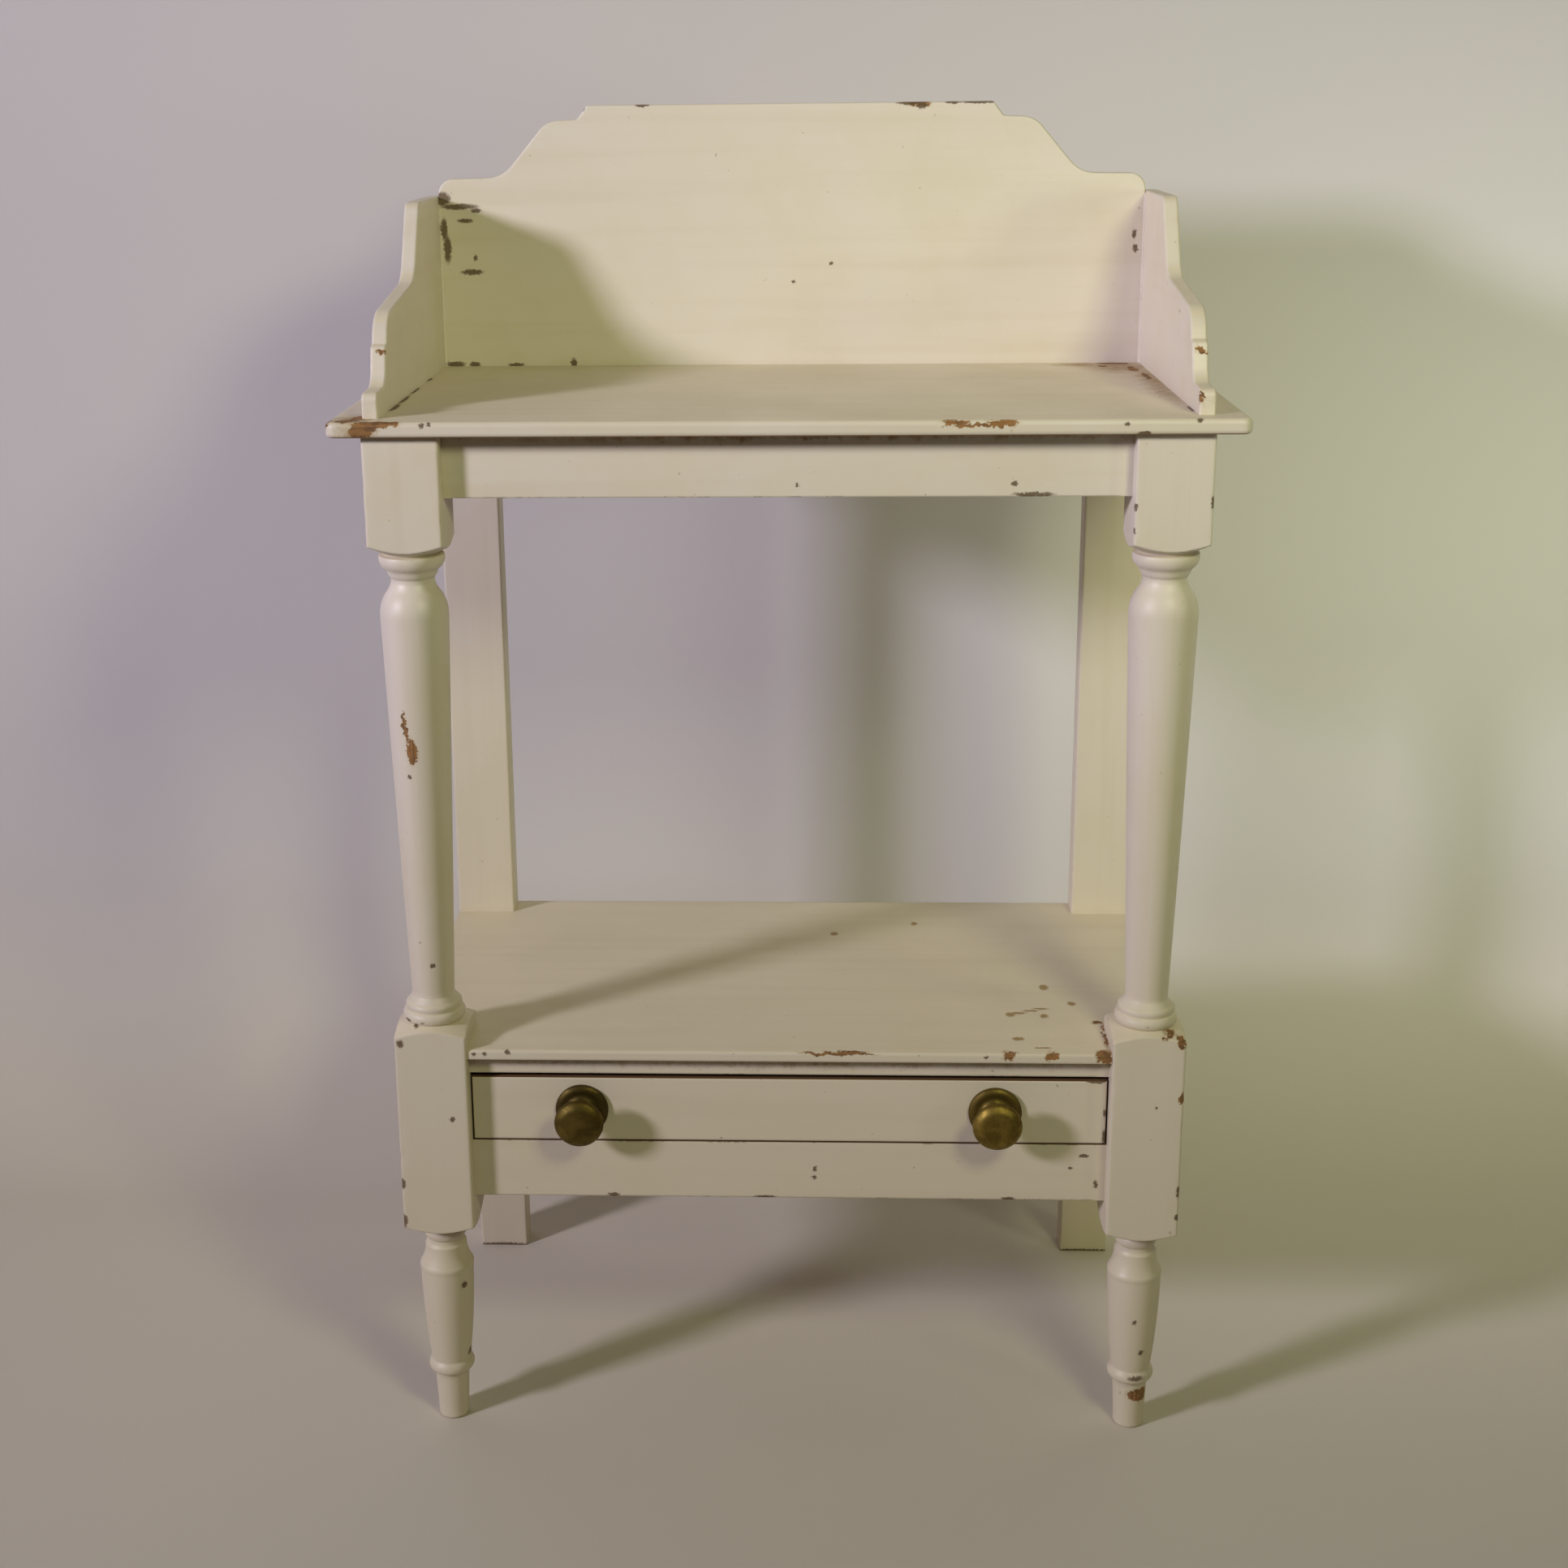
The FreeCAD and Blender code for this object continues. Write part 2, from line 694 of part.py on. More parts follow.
# The frame
screw_holes = {side: gallery_screws(side, fastener_clearance) for side in sides.values()}
nail_holes = {side: splashback_nails(side, fastener_clearance) for side in sides.values()}
nodes["table_top"] = cut_all(rounded_top(), screw_holes[-1] + screw_holes[1])
nodes["splashback"] = cut_all(splashback_solid(), nail_holes[-1] + nail_holes[1])
nodes["top_front_rail"] = cross_rail(leg_inner, front_rail_y, apron_z, front_mortise_depth)
nodes["top_back_rail"] = cross_rail(back_leg_inner, back_rail_y, apron_z, back_mortise_depth)
nodes["drawer_top_rail"] = cross_rail(leg_inner, front_rail_y, drawer_top_rail_z, front_mortise_depth)
nodes["lower_front_rail"] = cross_rail(leg_inner, front_rail_y, lower_rail_z, front_mortise_depth)
nodes["lower_back_rail"] = cross_rail(back_leg_inner, back_rail_y, case_z, back_mortise_depth)
nodes["pot_shelf"] = pot_shelf()
for name, side in sides.items():
    nodes["front_leg_" + name] = front_leg(side)
    nodes["back_leg_" + name] = back_leg(side)
    nodes["side_gallery_" + name] = cut_all(gallery(side), screw_holes[side] + nail_holes[side])
    nodes["top_side_rail_" + name] = side_rail(side, apron_z)
    nodes["lower_side_rail_" + name] = side_rail(side, case_z)
    nodes["drawer_runner_" + name] = runner(side)
    nodes["drawer_guide_" + name] = guide(side)
    nodes["drawer_kicker_" + name] = kicker(side)
nodes["drawer_stops"] = Part.makeCompound([drawer_stop(side) for side in sides.values()])
nodes["top_glue_blocks"] = Part.makeCompound(top_glue_blocks())
nodes["shelf_glue_blocks"] = Part.makeCompound(shelf_glue_blocks())
nodes["gallery_screws"] = Part.makeCompound(gallery_screws(-1, 0) + gallery_screws(1, 0))
nodes["splashback_nails"] = Part.makeCompound(splashback_nails(-1, 0) + splashback_nails(1, 0))

# The drawer
nodes["drawer_front"] = drawer_front()
nodes["drawer_back"] = cut_all(
    drawer_back_board(), back_tails(-1) + back_tails(1) + floor_nails(fastener_clearance))
nodes["drawer_bottom"] = cut_all(drawer_floor_panel(), floor_nails(fastener_clearance))
for name, side in sides.items():
    nodes["drawer_side_" + name] = drawer_side(side)
    nodes["knob_" + name] = knob(side)
nodes["knob_washers"] = Part.makeCompound([knob_washer(side) for side in sides.values()])
nodes["knob_nuts"] = Part.makeCompound([knob_nut(side) for side in sides.values()])
nodes["drawer_floor_nails"] = Part.makeCompound(floor_nails(0))

os.makedirs("parts", exist_ok=True)
for name, shape in nodes.items():
    shape.exportStep(os.path.join("parts", name + ".step"))
    print(name, "solids", len(shape.Solids), "volume", round(shape.Volume), "valid", shape.isValid())
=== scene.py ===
# %% [markdown]
# # A cream-painted washstand
# The washstand is a small pine table with a splashback, two shaped galleries, turned front legs, a shelf
# for a pot and one shallow drawer. Its solids come ready made in a fixed frame, in metres, with the
# floor at height zero. This lesson dresses them: it turns the legs and knobs afresh with Geometry Nodes,
# drives the nails and screws, and mixes the old cream paint, the bare pine, the brass and the iron.

# %% Load the frame
from math import atan, cos, pi, radians, sin
import bpy
from mathutils import Matrix, Vector


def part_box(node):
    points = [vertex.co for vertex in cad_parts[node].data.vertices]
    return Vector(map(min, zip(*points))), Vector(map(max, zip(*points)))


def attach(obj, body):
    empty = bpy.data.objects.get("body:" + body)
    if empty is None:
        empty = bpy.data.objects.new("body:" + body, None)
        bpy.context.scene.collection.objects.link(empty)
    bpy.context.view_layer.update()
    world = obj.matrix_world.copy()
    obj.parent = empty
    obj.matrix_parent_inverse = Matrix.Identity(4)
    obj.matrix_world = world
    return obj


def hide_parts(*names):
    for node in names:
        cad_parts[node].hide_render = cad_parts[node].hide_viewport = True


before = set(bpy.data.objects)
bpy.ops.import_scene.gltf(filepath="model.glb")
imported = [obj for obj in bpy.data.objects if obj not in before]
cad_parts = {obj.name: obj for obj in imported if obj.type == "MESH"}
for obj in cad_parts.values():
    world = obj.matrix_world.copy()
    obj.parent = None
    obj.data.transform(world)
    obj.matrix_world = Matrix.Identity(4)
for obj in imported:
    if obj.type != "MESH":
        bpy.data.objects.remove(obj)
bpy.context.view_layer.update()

MM = 0.001

# %% [markdown]
# ## Writing node trees step by step
# A finish and a turned shape are both node trees. Placing nodes by hand in a script is long-winded, so
# this small helper adds one node per call and returns its output. A finish then reads as a list of
# steps, like a painter's recipe, and one helper serves shader trees and shape trees.

# %% A recipe helper for node trees
class Recipe:
    def __init__(self, tree):
        self.tree = tree

    def feed(self, socket, value):
        if isinstance(value, bpy.types.NodeSocket):
            self.tree.links.new(value, socket)
        elif value is not None:
            socket.default_value = value

    def node(self, kind, feeds=None, **settings):
        node = self.tree.nodes.new(kind)
        for name, value in settings.items():
            setattr(node, name, value)
        for name, value in (feeds or {}).items():
            self.feed(node.inputs[name], value)
        return node

    def math(self, operation, a, b=None, c=None):
        node = self.node("ShaderNodeMath", operation=operation)
        for socket, value in zip(node.inputs, (a, b, c)):
            self.feed(socket, value)
        return node.outputs[0]

    def vector(self, operation, a, b=None, scale=None):
        node = self.node("ShaderNodeVectorMath", operation=operation)
        self.feed(node.inputs[0], a)
        if scale is None:
            self.feed(node.inputs[1], b)
        else:
            self.feed(node.inputs["Scale"], scale)
        single = operation in ("LENGTH", "DOT_PRODUCT")
        return node.outputs["Value" if single else "Vector"]

    def first(self, kind, feeds=None, **settings):
        return self.node(kind, feeds, **settings).outputs[0]

    def times(self, a, b):
        return self.math("MULTIPLY", a, b)

    def upward(self, amount):
        return self.first("ShaderNodeCombineXYZ", {"Z": amount})

    def shifted(self, place, seed, step):
        return self.vector("ADD", place, tuple(seed * part for part in step))

    def noise(self, place, scale, detail=3.0, rough=0.5):
        feeds = {"Vector": place, "Scale": scale, "Detail": detail, "Roughness": rough}
        return self.node("ShaderNodeTexNoise", feeds).outputs

    def spread(self, value, low, high, start=0.0, end=1.0):
        feeds = {"Value": value, "From Min": low, "From Max": high, "To Min": start, "To Max": end}
        return self.node("ShaderNodeMapRange", feeds, interpolation_type="SMOOTHSTEP").outputs["Result"]

    def blend(self, share, a, b):
        node = self.node("ShaderNodeMix", data_type="RGBA")
        for index, value in ((0, share), (6, a), (7, b)):
            self.feed(node.inputs[index], value)
        return node.outputs[2]

    def coat(self, under, over, guide, low, high, share=1.0):
        return self.blend(self.spread(guide, low, high, 0.0, share), under, over)

    def lay_on(self, shader, colour, roughness, normal):
        for name, value in (("Base Color", colour), ("Roughness", roughness), ("Normal", normal)):
            self.feed(shader.inputs[name], value)

    def bump(self, height, strength, distance, normal=None):
        feeds = {"Height": height, "Strength": strength, "Distance": distance, "Normal": normal}
        return self.node("ShaderNodeBump", feeds).outputs["Normal"]


def new_finish(name):
    finish = bpy.data.materials.new(name)
    finish.use_nodes = True
    mix = Recipe(finish.node_tree)
    shader = finish.node_tree.nodes["Principled BSDF"]
    return finish, mix, shader


print("recipe helper ready")

# %% [markdown]
# ## Bare pine
# The drawer's sides and floor, the runners and the undersides were never painted. Planed pine shows
# straight light and dark growth bands along the board, fine pores and a slow change of tone. An image
# would repeat and need a flat layout, so the bands are noise squeezed across the grain, read in
# the stand's own coordinates. Each board gets its own seed, so no two boards show the same figure. A
# noise's scale says how many of its patterns lie in a metre, and spread turns a stretch of it into a share.

# %% Mix the bare pine
STRETCH = 0.035
ALONG = {"x": (STRETCH, 1.0, 1.0), "y": (1.0, STRETCH, 1.0), "z": (1.0, 1.0, STRETCH)}
BOARD_STEP = (0.37, 0.71, 0.53)
EARLY_WOOD, LATE_WOOD = (0.47, 0.30, 0.145, 1), (0.30, 0.165, 0.065, 1)
PORE, AGED = (0.15, 0.08, 0.035, 1), (0.24, 0.15, 0.08, 1)
DRIFT, BANDS, PORES, TONE = 9.0, 95.0, 1500.0, 5.0
PLANED_ARRIS, PINE_RELIEF = 0.8 * MM, 0.25 * MM


def pine_figure(mix, place, grain):
    along = mix.vector("MULTIPLY", place, ALONG[grain])
    drift = mix.noise(along, DRIFT, 2.0)["Color"]
    bent = mix.vector("ADD", along, mix.vector("SCALE", drift, scale=0.03))
    bands = mix.noise(bent, BANDS, 3.0, 0.45)["Fac"]
    pores = mix.noise(along, PORES, 2.0)["Fac"]
    tone = mix.noise(place, TONE, 3.0)["Fac"]
    wood = mix.coat(EARLY_WOOD, LATE_WOOD, bands, 0.36, 0.66)
    wood = mix.coat(wood, PORE, pores, 0.56, 0.72, 0.45)
    wood = mix.coat(wood, AGED, tone, 0.35, 0.75, 0.4)
    ridges = mix.math("ADD", bands, mix.times(pores, 0.6))
    return wood, ridges


def bare_pine(name, grain, seed):
    finish, mix, shader = new_finish(name)
    place = mix.node("ShaderNodeTexCoord").outputs["Object"]
    wood, ridges = pine_figure(mix, mix.shifted(place, seed, BOARD_STEP), grain)
    soft = mix.node("ShaderNodeBevel", {"Radius": PLANED_ARRIS}, samples=4).outputs["Normal"]
    roughness = mix.spread(ridges, 0.4, 1.2, 0.58, 0.78)
    mix.lay_on(shader, wood, roughness, mix.bump(ridges, 0.35, PINE_RELIEF, soft))
    return finish


print("bare pine ready")

# %% [markdown]
# ## Old cream paint: the coats
# The stand wears several coats of cream oil paint, brushed along the grain. It is darker and yellower
# towards the bottom, has turned warmer on the faces that look up, and is darker in the corners, partly with
# grime and partly with painted shade. Each step lays a share of one more colour over the last. A bevel node
# softens the arrises. It would also darken the ends of boards that butt against others, so ambient
# occlusion switches it off in corners.

# %% Lay the coats
CREAM, YELLOWED = (0.735, 0.674, 0.565, 1), (0.660, 0.585, 0.395, 1)
# The grime colour darkens random specks of dirt, and it also paints shade into the corners.
DULLED, HANDLED, GRIME_AND_SHADE = (0.610, 0.525, 0.370, 1), (0.775, 0.680, 0.475, 1), (0.300, 0.240, 0.130, 1)
CORNER_REACH, PAINTED_ARRIS = 12 * MM, 2.0 * MM


def looks(mix, facing, ways):
    shown = None
    for way in ways:
        sign = -1.0 if way[0] == "-" else 1.0
        toward = tuple(sign if axis == way[1] else 0.0 for axis in "xyz")
        face = mix.spread(mix.vector("DOT_PRODUCT", facing, toward), 0.68, 0.72)
        shown = face if shown is None else mix.math("MAXIMUM", shown, face)
    return shown


def soft_arrises(mix):
    corner = mix.node("ShaderNodeAmbientOcclusion", {"Distance": CORNER_REACH}, samples=4).outputs["AO"]
    free = mix.spread(corner, 0.74, 0.92)
    soft = mix.node("ShaderNodeBevel", {"Radius": PAINTED_ARRIS}, samples=4).outputs["Normal"]
    shape = mix.node("ShaderNodeNewGeometry").outputs
    arris = mix.spread(mix.vector("DOT_PRODUCT", soft, shape["True Normal"]), 0.985, 0.86)
    arris = mix.times(arris, free)
    eased = mix.vector("SCALE", mix.vector("SUBTRACT", soft, shape["Normal"]), scale=free)
    soft = mix.vector("NORMALIZE", mix.vector("ADD", shape["Normal"], eased))
    return corner, arris, soft


def aged_coats(mix, seen, place, facing, corner):
    height = mix.node("ShaderNodeSeparateXYZ", {0: place}).outputs["Z"]
    # Darker and yellower towards the bottom.
    colour = mix.coat(CREAM, YELLOWED, height, 0.80, 0.08, 0.7)
    colour = mix.blend(mix.times(looks(mix, facing, ["+z"]), 0.6), colour, HANDLED)
    colour = mix.coat(colour, YELLOWED, seen["clouds"], 0.35, 0.75, 0.45)
    colour = mix.coat(colour, YELLOWED, seen["brushed"], 0.55, 0.75, 0.18)
    colour = mix.coat(colour, DULLED, seen["streaks"], 0.44, 0.72, 0.22)
    # Painted shade: where ambient occlusion finds a corner the paint darkens, partly as grime and partly as
    # shade.
    cloudy = mix.spread(seen["clouds"], 0.3, 0.62, 0.2, 1)
    grime_and_corner_shade = mix.times(mix.spread(corner, 0.60, 0.24, 0.0, 0.26), cloudy)
    colour = mix.blend(grime_and_corner_shade, colour, GRIME_AND_SHADE)
    return mix.coat(colour, GRIME_AND_SHADE, seen["specks"], 0.745, 0.80, 0.7)


print("coats of paint ready")

# %% [markdown]
# ## Old cream paint: what is lost
# Flakes show brown wood with a rim of undercoat. Knocks are small and filled with dirt, scuffs are brown and
# shallow, and stains have soft edges. Two long stains on the front rails are painted shadow under the
# overhangs, and a thin band at the bottom of each back foot is painted shade with some dirt. They sit where
# they are on the real stand, so each board has lists of them. Shifting the coordinates by noise before
# measuring the distance turns a plain oval into a ragged flake. Along the arrises, where the bevel turns
# the surface most, the paint is rubbed thin.

# %% Wear the paint away
# The stain colour also lays painted shadow on the front rails, and the dirt colour paints shade at the back
# feet.
UNDERCOAT, STAIN_AND_SHADOW, DIRT_AND_SHADE = (0.540, 0.410, 0.230, 1), (0.300, 0.168, 0.022, 1), (0.110, 0.070, 0.028, 1)
WOOD_LIGHT, WOOD_DARK = (0.350, 0.170, 0.048, 1), (0.115, 0.058, 0.020, 1)
MARK_STEP, MIDDLE = (0.11, 0.07, 0.19), (0.5, 0.5, 0.5)
COARSE, FINE = 130.0, 520.0
# Each kind of mark: what is added to the seed, and how far its outline wanders and frays, in millimetres
OUTLINES = {
    "flakes": (0, 9.0, 4.4), "stains_and_shadows": (5, 18.0, 9.0), "scuffs": (9, 1.6, 4.6), "knocks_and_shade": (9, 1.6, 4.6),
}


def ragged_place(mix, place, seed, wander, fray):
    spot = mix.shifted(place, seed, MARK_STEP)
    coarse = mix.vector("SUBTRACT", mix.noise(spot, COARSE, 3.0, 0.6)["Color"], MIDDLE)
    fine = mix.vector("SUBTRACT", mix.noise(spot, FINE, 3.0, 0.65)["Color"], MIDDLE)
    ragged = mix.vector("ADD", place, mix.vector("SCALE", coarse, scale=wander * MM))
    return mix.vector("ADD", ragged, mix.vector("SCALE", fine, scale=fray * MM))


def distance_to(mix, kind, rows, place, seed):
    shift, wander, fray = OUTLINES[kind]
    ragged = ragged_place(mix, place, seed + shift, wander, fray)
    closest = None
    for x, y, z, half_x, half_y, half_z in rows:
        away = mix.vector("SUBTRACT", ragged, (x * MM, y * MM, z * MM))
        away = mix.vector("MULTIPLY", away, (1 / (half_x * MM), 1 / (half_y * MM), 1 / (half_z * MM)))
        far = mix.vector("LENGTH", away)
        closest = far if closest is None else mix.math("MINIMUM", closest, far)
    return closest


def wear_away(mix, seen, colour, arris, place, seed, wear):
    chipping = seen["chipping"]
    # Stains: real ones on the top, and on the front rails painted shadow under the overhangs.
    if "stains_and_shadows" in wear:
        far = distance_to(mix, "stains_and_shadows", wear["stains_and_shadows"], place, seed)
        mottled = mix.spread(chipping, 0.30, 0.62, 0.6, 1)
        deep = mix.times(mix.spread(far, 1.3, 0.1, 0.0, 0.9), mottled)
        colour = mix.blend(deep, colour, STAIN_AND_SHADOW)
    thin = mix.times(arris, mix.spread(seen["chance"], 0.42, 0.66))
    thin = mix.times(thin, mix.spread(chipping, 0.38, 0.58))
    lost = mix.spread(thin, 0.50, 0.60)
    if "flakes" in wear:
        far = distance_to(mix, "flakes", wear["flakes"], place, seed)
        lost = mix.math("MAXIMUM", lost, mix.spread(far, 1.05, 0.93))
        colour = mix.coat(colour, UNDERCOAT, far, 1.35, 1.02, 0.6)
    wood = mix.coat(WOOD_LIGHT, WOOD_DARK, seen["shade"], 0.36, 0.70, 0.8)
    wood = mix.coat(wood, WOOD_DARK, chipping, 0.46, 0.66, 0.7)
    colour = mix.blend(lost, colour, wood)
    # Knocks are filled with dirt, and the same fill paints shade along the bottom of the back feet.
    dirt_and_shade_fill = mix.coat(DIRT_AND_SHADE, WOOD_DARK, chipping, 0.4, 0.65)
    for kind, strength, filling in (("scuffs", 0.8, STAIN_AND_SHADOW), ("knocks_and_shade", 0.9, dirt_and_shade_fill)):
        if kind in wear:
            far = distance_to(mix, kind, wear[kind], place, seed)
            hole_and_shade = mix.spread(far, 1.32, 0.72, 0.0, strength)
            colour = mix.blend(hole_and_shade, colour, filling)
            lost = mix.math("MAXIMUM", lost, hole_and_shade)
    return colour, lost


print("kinds of mark:", sorted(OUTLINES))

# %% [markdown]
# ## Old cream paint: the whole finish
# The coats, the losses and the unpainted faces come together in one finish for each board. Brush lines and
# the edges of losses also raise the surface a little, as thick paint does, and bare wood is rougher.

# %% Mix the cream paint
# Each pattern: does it follow the grain, its scale, its detail and its roughness
PATTERNS = {
    "brushed": (True, 330.0, 3.0, 0.55), "streaks": (True, 70.0, 2.0, 0.5), "shade": (True, 420.0, 3.0, 0.6),
    "clouds": (False, 11.0, 4.0, 0.6), "specks": (False, 210.0, 2.0, 0.5), "chance": (False, 26.0, 3.0, 0.6),
    "chipping": (False, 190.0, 4.0, 0.65),
}
BRUSH_DEPTH, COAT_DEPTH, CLEAN = 0.25 * MM, 0.5 * MM, 0.1


def cream_paint(name, grain, seed, wear, bare=(), soil_and_shade=CLEAN):
    finish, mix, shader = new_finish(name)
    where = mix.node("ShaderNodeTexCoord")
    place, facing = where.outputs["Object"], where.outputs["Normal"]
    spot = mix.shifted(place, seed, BOARD_STEP)
    along = mix.vector("MULTIPLY", spot, ALONG[grain])
    seen = {pattern: mix.noise(along if follows else spot, scale, detail, rough)["Fac"]
            for pattern, (follows, scale, detail, rough) in PATTERNS.items()}

    corner, arris, soft = soft_arrises(mix)
    colour = aged_coats(mix, seen, place, facing, corner)
    colour, lost = wear_away(mix, seen, colour, arris, place, seed, wear)
    skin = mix.math("MULTIPLY_ADD", seen["brushed"], 0.6, mix.times(seen["chipping"], 0.35))
    painted = mix.bump(skin, 0.16, BRUSH_DEPTH, soft)
    painted = mix.bump(mix.math("SUBTRACT", 1.0, lost), 0.7, COAT_DEPTH, painted)
    roughness = mix.spread(seen["clouds"], 0.3, 0.7, 0.40, 0.52)
    roughness = mix.math("MULTIPLY_ADD", lost, 0.3, roughness)
    if bare:
        hidden = looks(mix, facing, bare)
        # Painted shade: bare faces round the drawer gap darken, partly as soil and partly as the gap's shade.
        grubby_and_shaded = mix.spread(looks(mix, facing, ["+y"]), 0.0, 1.0, soil_and_shade, CLEAN)
        pine = mix.blend(grubby_and_shaded, pine_figure(mix, spot, grain)[0], WOOD_DARK)
        colour = mix.blend(hidden, colour, pine)
        roughness = mix.math("MULTIPLY_ADD", hidden, 0.22, roughness)
    mix.lay_on(shader, colour, roughness, painted)
    return finish


print("cream paint ready, patterns:", len(PATTERNS))

# %% [markdown]
# ## Where the paint is gone
# Each row is one mark: centre and half sizes in millimetres, in the stand's frame. The half size across
# the board is generous, so a flake at an edge wraps round it. The long stains on the two front rails are
# painted shadow under the overhangs of the top and the shelf.

# %% List the worn places
worn = {}
worn["table_top"] = {
    "flakes": [
        (-279, -155, 763, 9, 6, 6), (-268, -153, 767, 13, 5, 2.2), (-292, -147, 768, 9, 6, 2),
        (-286, -134, 768, 5, 11, 2), (-304, -148, 766, 2.5, 6, 3), (112, -155, 767, 9, 4, 1.7),
        (141, -155, 766, 10, 4, 2.2), (126, -155, 764.5, 15, 4, 1.2), (251, 137, 768, 12, 6, 3),
        (262, 104, 768, 4, 16, 2), (266, 60, 768, 2.4, 22, 2), (241, 122, 768, 4, 6, 2)],
    "knocks_and_shade": [
        (-271.5, -84, 768, 3.4, 17, 9), (-271.5, -45, 768, 2.4, 20, 9), (-271.6, 0, 768, 1.6, 18, 9),
        (-272, 62, 768, 2.4, 9, 9), (223, -155, 765, 1.5, 3, 1.5), (234, -155, 758.5, 5, 4, 1.5),
        (270, -155, 767.5, 2.2, 4, 1.9), (-240, -155, 766, 1.7, 3, 1.7), (-235, -155, 767, 1.3, 3, 1.5),
        (271.6, -108, 768, 1.8, 12, 9)],
    "stains_and_shadows": [
        (254, 118, 768, 34, 42, 40), (268, 20, 768, 13, 125, 40), (226, 130, 768, 26, 14, 40),
        (-287, -138, 768, 18, 24, 40)],
}
worn["splashback"] = {
    "flakes": [(98, 145, 965, 8, 6, 2), (-227, 143, 917.5, 4, 6, 1.9)],
    "knocks_and_shade": [
        (92, 145, 965.5, 10, 9, 1.6), (100, 145, 963.5, 4, 9, 2.6), (124, 145, 966, 6, 9, 1.5),
        (144, 145, 966, 13, 9, 1.5), (-161, 145, 963.5, 4.5, 9, 2.2), (-112, 145, 966, 5.5, 9, 1.6),
        (-269, 143, 897, 6, 9, 5), (-256, 143, 891, 14, 9, 2), (-243, 143, 888, 4, 9, 1.6),
        (-252, 143, 880.5, 6, 9, 1.6), (-268.5, 143, 874, 2.4, 9, 8), (-266.5, 143, 859, 2.6, 9, 10),
        (264.8, 143, 866.2, 1.5, 9, 3.3), (266, 143, 855.6, 1.7, 9, 3), (-248, 143, 841, 8, 5, 2.2),
        (-245, 143, 852, 1.6, 5, 2.1), (32, 143, 846, 1.4, 5, 1.4), (3, 143, 832, 1.2, 5, 1.2),
        (-170.5, 143, 770, 2.4, 9, 3.5), (-264, 143, 769.5, 7, 9, 2.2), (-249, 143, 769.3, 4, 9, 2),
        (-216, 143, 769, 6, 9, 1.4)],
}
worn["side_gallery_left"] = {
    "flakes": [(-274, -100, 808, 4, 4, 2.4)], "knocks_and_shade": [(-276, 60, 893, 3, 4, 1.6)],
}
worn["side_gallery_right"] = {
    "flakes": [
        (276, 20, 838, 2.6, 6, 3.2), (276, -40, 826, 2.6, 7, 3.8), (278, -100, 806, 4.6, 4, 2.6),
        (273.5, -136, 780, 1.6, 4, 4.6), (280, -131, 776, 2.2, 4, 2.2)],
}
worn["top_front_rail"] = {
    "knocks_and_shade": [
        (165.6, -133.5, 714.8, 13, 6, 1.6), (152.7, -133.5, 722, 2.2, 5, 1.6),
        (8, -133.5, 722, 1.2, 5, 1.2)],
    # Painted shadow: a dark band along the apron's top, under the top's overhang.
    "stains_and_shadows": [(0, -133.5, 758.5, 300, 40, 6)],
}
worn["front_leg_left"] = {
    "flakes": [(-265, -140, 557, 1.4, 9, 8), (-263, -140, 549, 1.8, 9, 5), (-260, -140, 537, 3.2, 9, 9)],
    "knocks_and_shade": [
        (-262.4, -140, 518, 1.4, 8, 1.8), (-253.6, -138, 374.6, 1.8, 8, 1.7),
        (-278.4, -146, 318.5, 2.5, 6, 2.8), (-243, -146, 259.2, 1.6, 5, 1.9), (-282, -146, 207, 2, 5, 4),
        (-282, -146, 177, 2, 5, 5.5), (-242.5, -134, 117, 1.6, 7, 2.7), (-240.4, -125, 55, 2.8, 7, 3.8),
        (-267.3, -138, 330.1, 1.8, 9, 1.5), (-262.5, -135, 332.6, 1.6, 9, 1.3),
        (-274, -135, 332.3, 2.2, 9, 1.5)],
}
worn["front_leg_right"] = {
    "flakes": [
        (272, -144, 328.5, 6, 10, 2.4), (279.5, -144, 323, 2.8, 10, 4.2), (281.3, -146, 280, 1.8, 5, 5),
        (262, -132, 29, 8, 9, 5.5)],
    "knocks_and_shade": [
        (282.7, -146, 206, 2, 5, 4.8), (282.5, -146, 186, 1.8, 5, 2.4), (259, -132, 46, 6, 9, 2.1),
        (256, -138, 94.4, 1.7, 8, 1.9), (262, -136, 68, 1.7, 8, 2), (240.4, -138, 351, 1.6, 5, 1.7),
        (263.6, -146, 273, 1.3, 5, 1.3), (231, -146, 692, 1.4, 4, 2.2), (231.5, -146, 708, 1.2, 4, 3),
        (282.3, -146, 711.5, 1.3, 4, 4), (249, -138, 30, 1.6, 8, 2.4)],
}
worn["pot_shelf"] = {
    "flakes": [
        (36, -144, 312.4, 26, 4, 1.5), (158.9, -144, 311.3, 5, 7, 3), (188.7, -144, 310.7, 4.6, 7, 2.8),
        (225.5, -144, 311, 6, 9, 5.5), (227, -88.5, 313, 3.6, 3.4, 2), (229.6, -112, 313, 1.6, 20, 2)],
    "scuffs": [
        (164.8, -74.9, 313, 3.4, 4, 9), (171, -72, 313, 6, 1.6, 9), (180, -68, 313, 6, 1.5, 9),
        (188, -64, 313, 6, 1.4, 9), (212, -54.4, 313, 2.8, 3.4, 9), (194.4, -24, 313, 3.4, 5, 9),
        (189.5, -77.4, 313, 2.8, 3.4, 9), (166.9, -117.8, 313, 4, 3, 9), (183, -133, 313, 6, 1.2, 9),
        (35.4, 83.5, 313, 3, 4, 9), (101, 106.6, 313, 2.4, 3.6, 9)],
    "knocks_and_shade": [
        (141.6, -144, 310, 1.3, 3, 1.1), (-225.6, -144, 310, 1.4, 3, 1.2), (-217.6, -144, 310, 1.6, 3, 1.4),
        (-201.5, -144, 311.5, 2, 3, 1.7)],
}
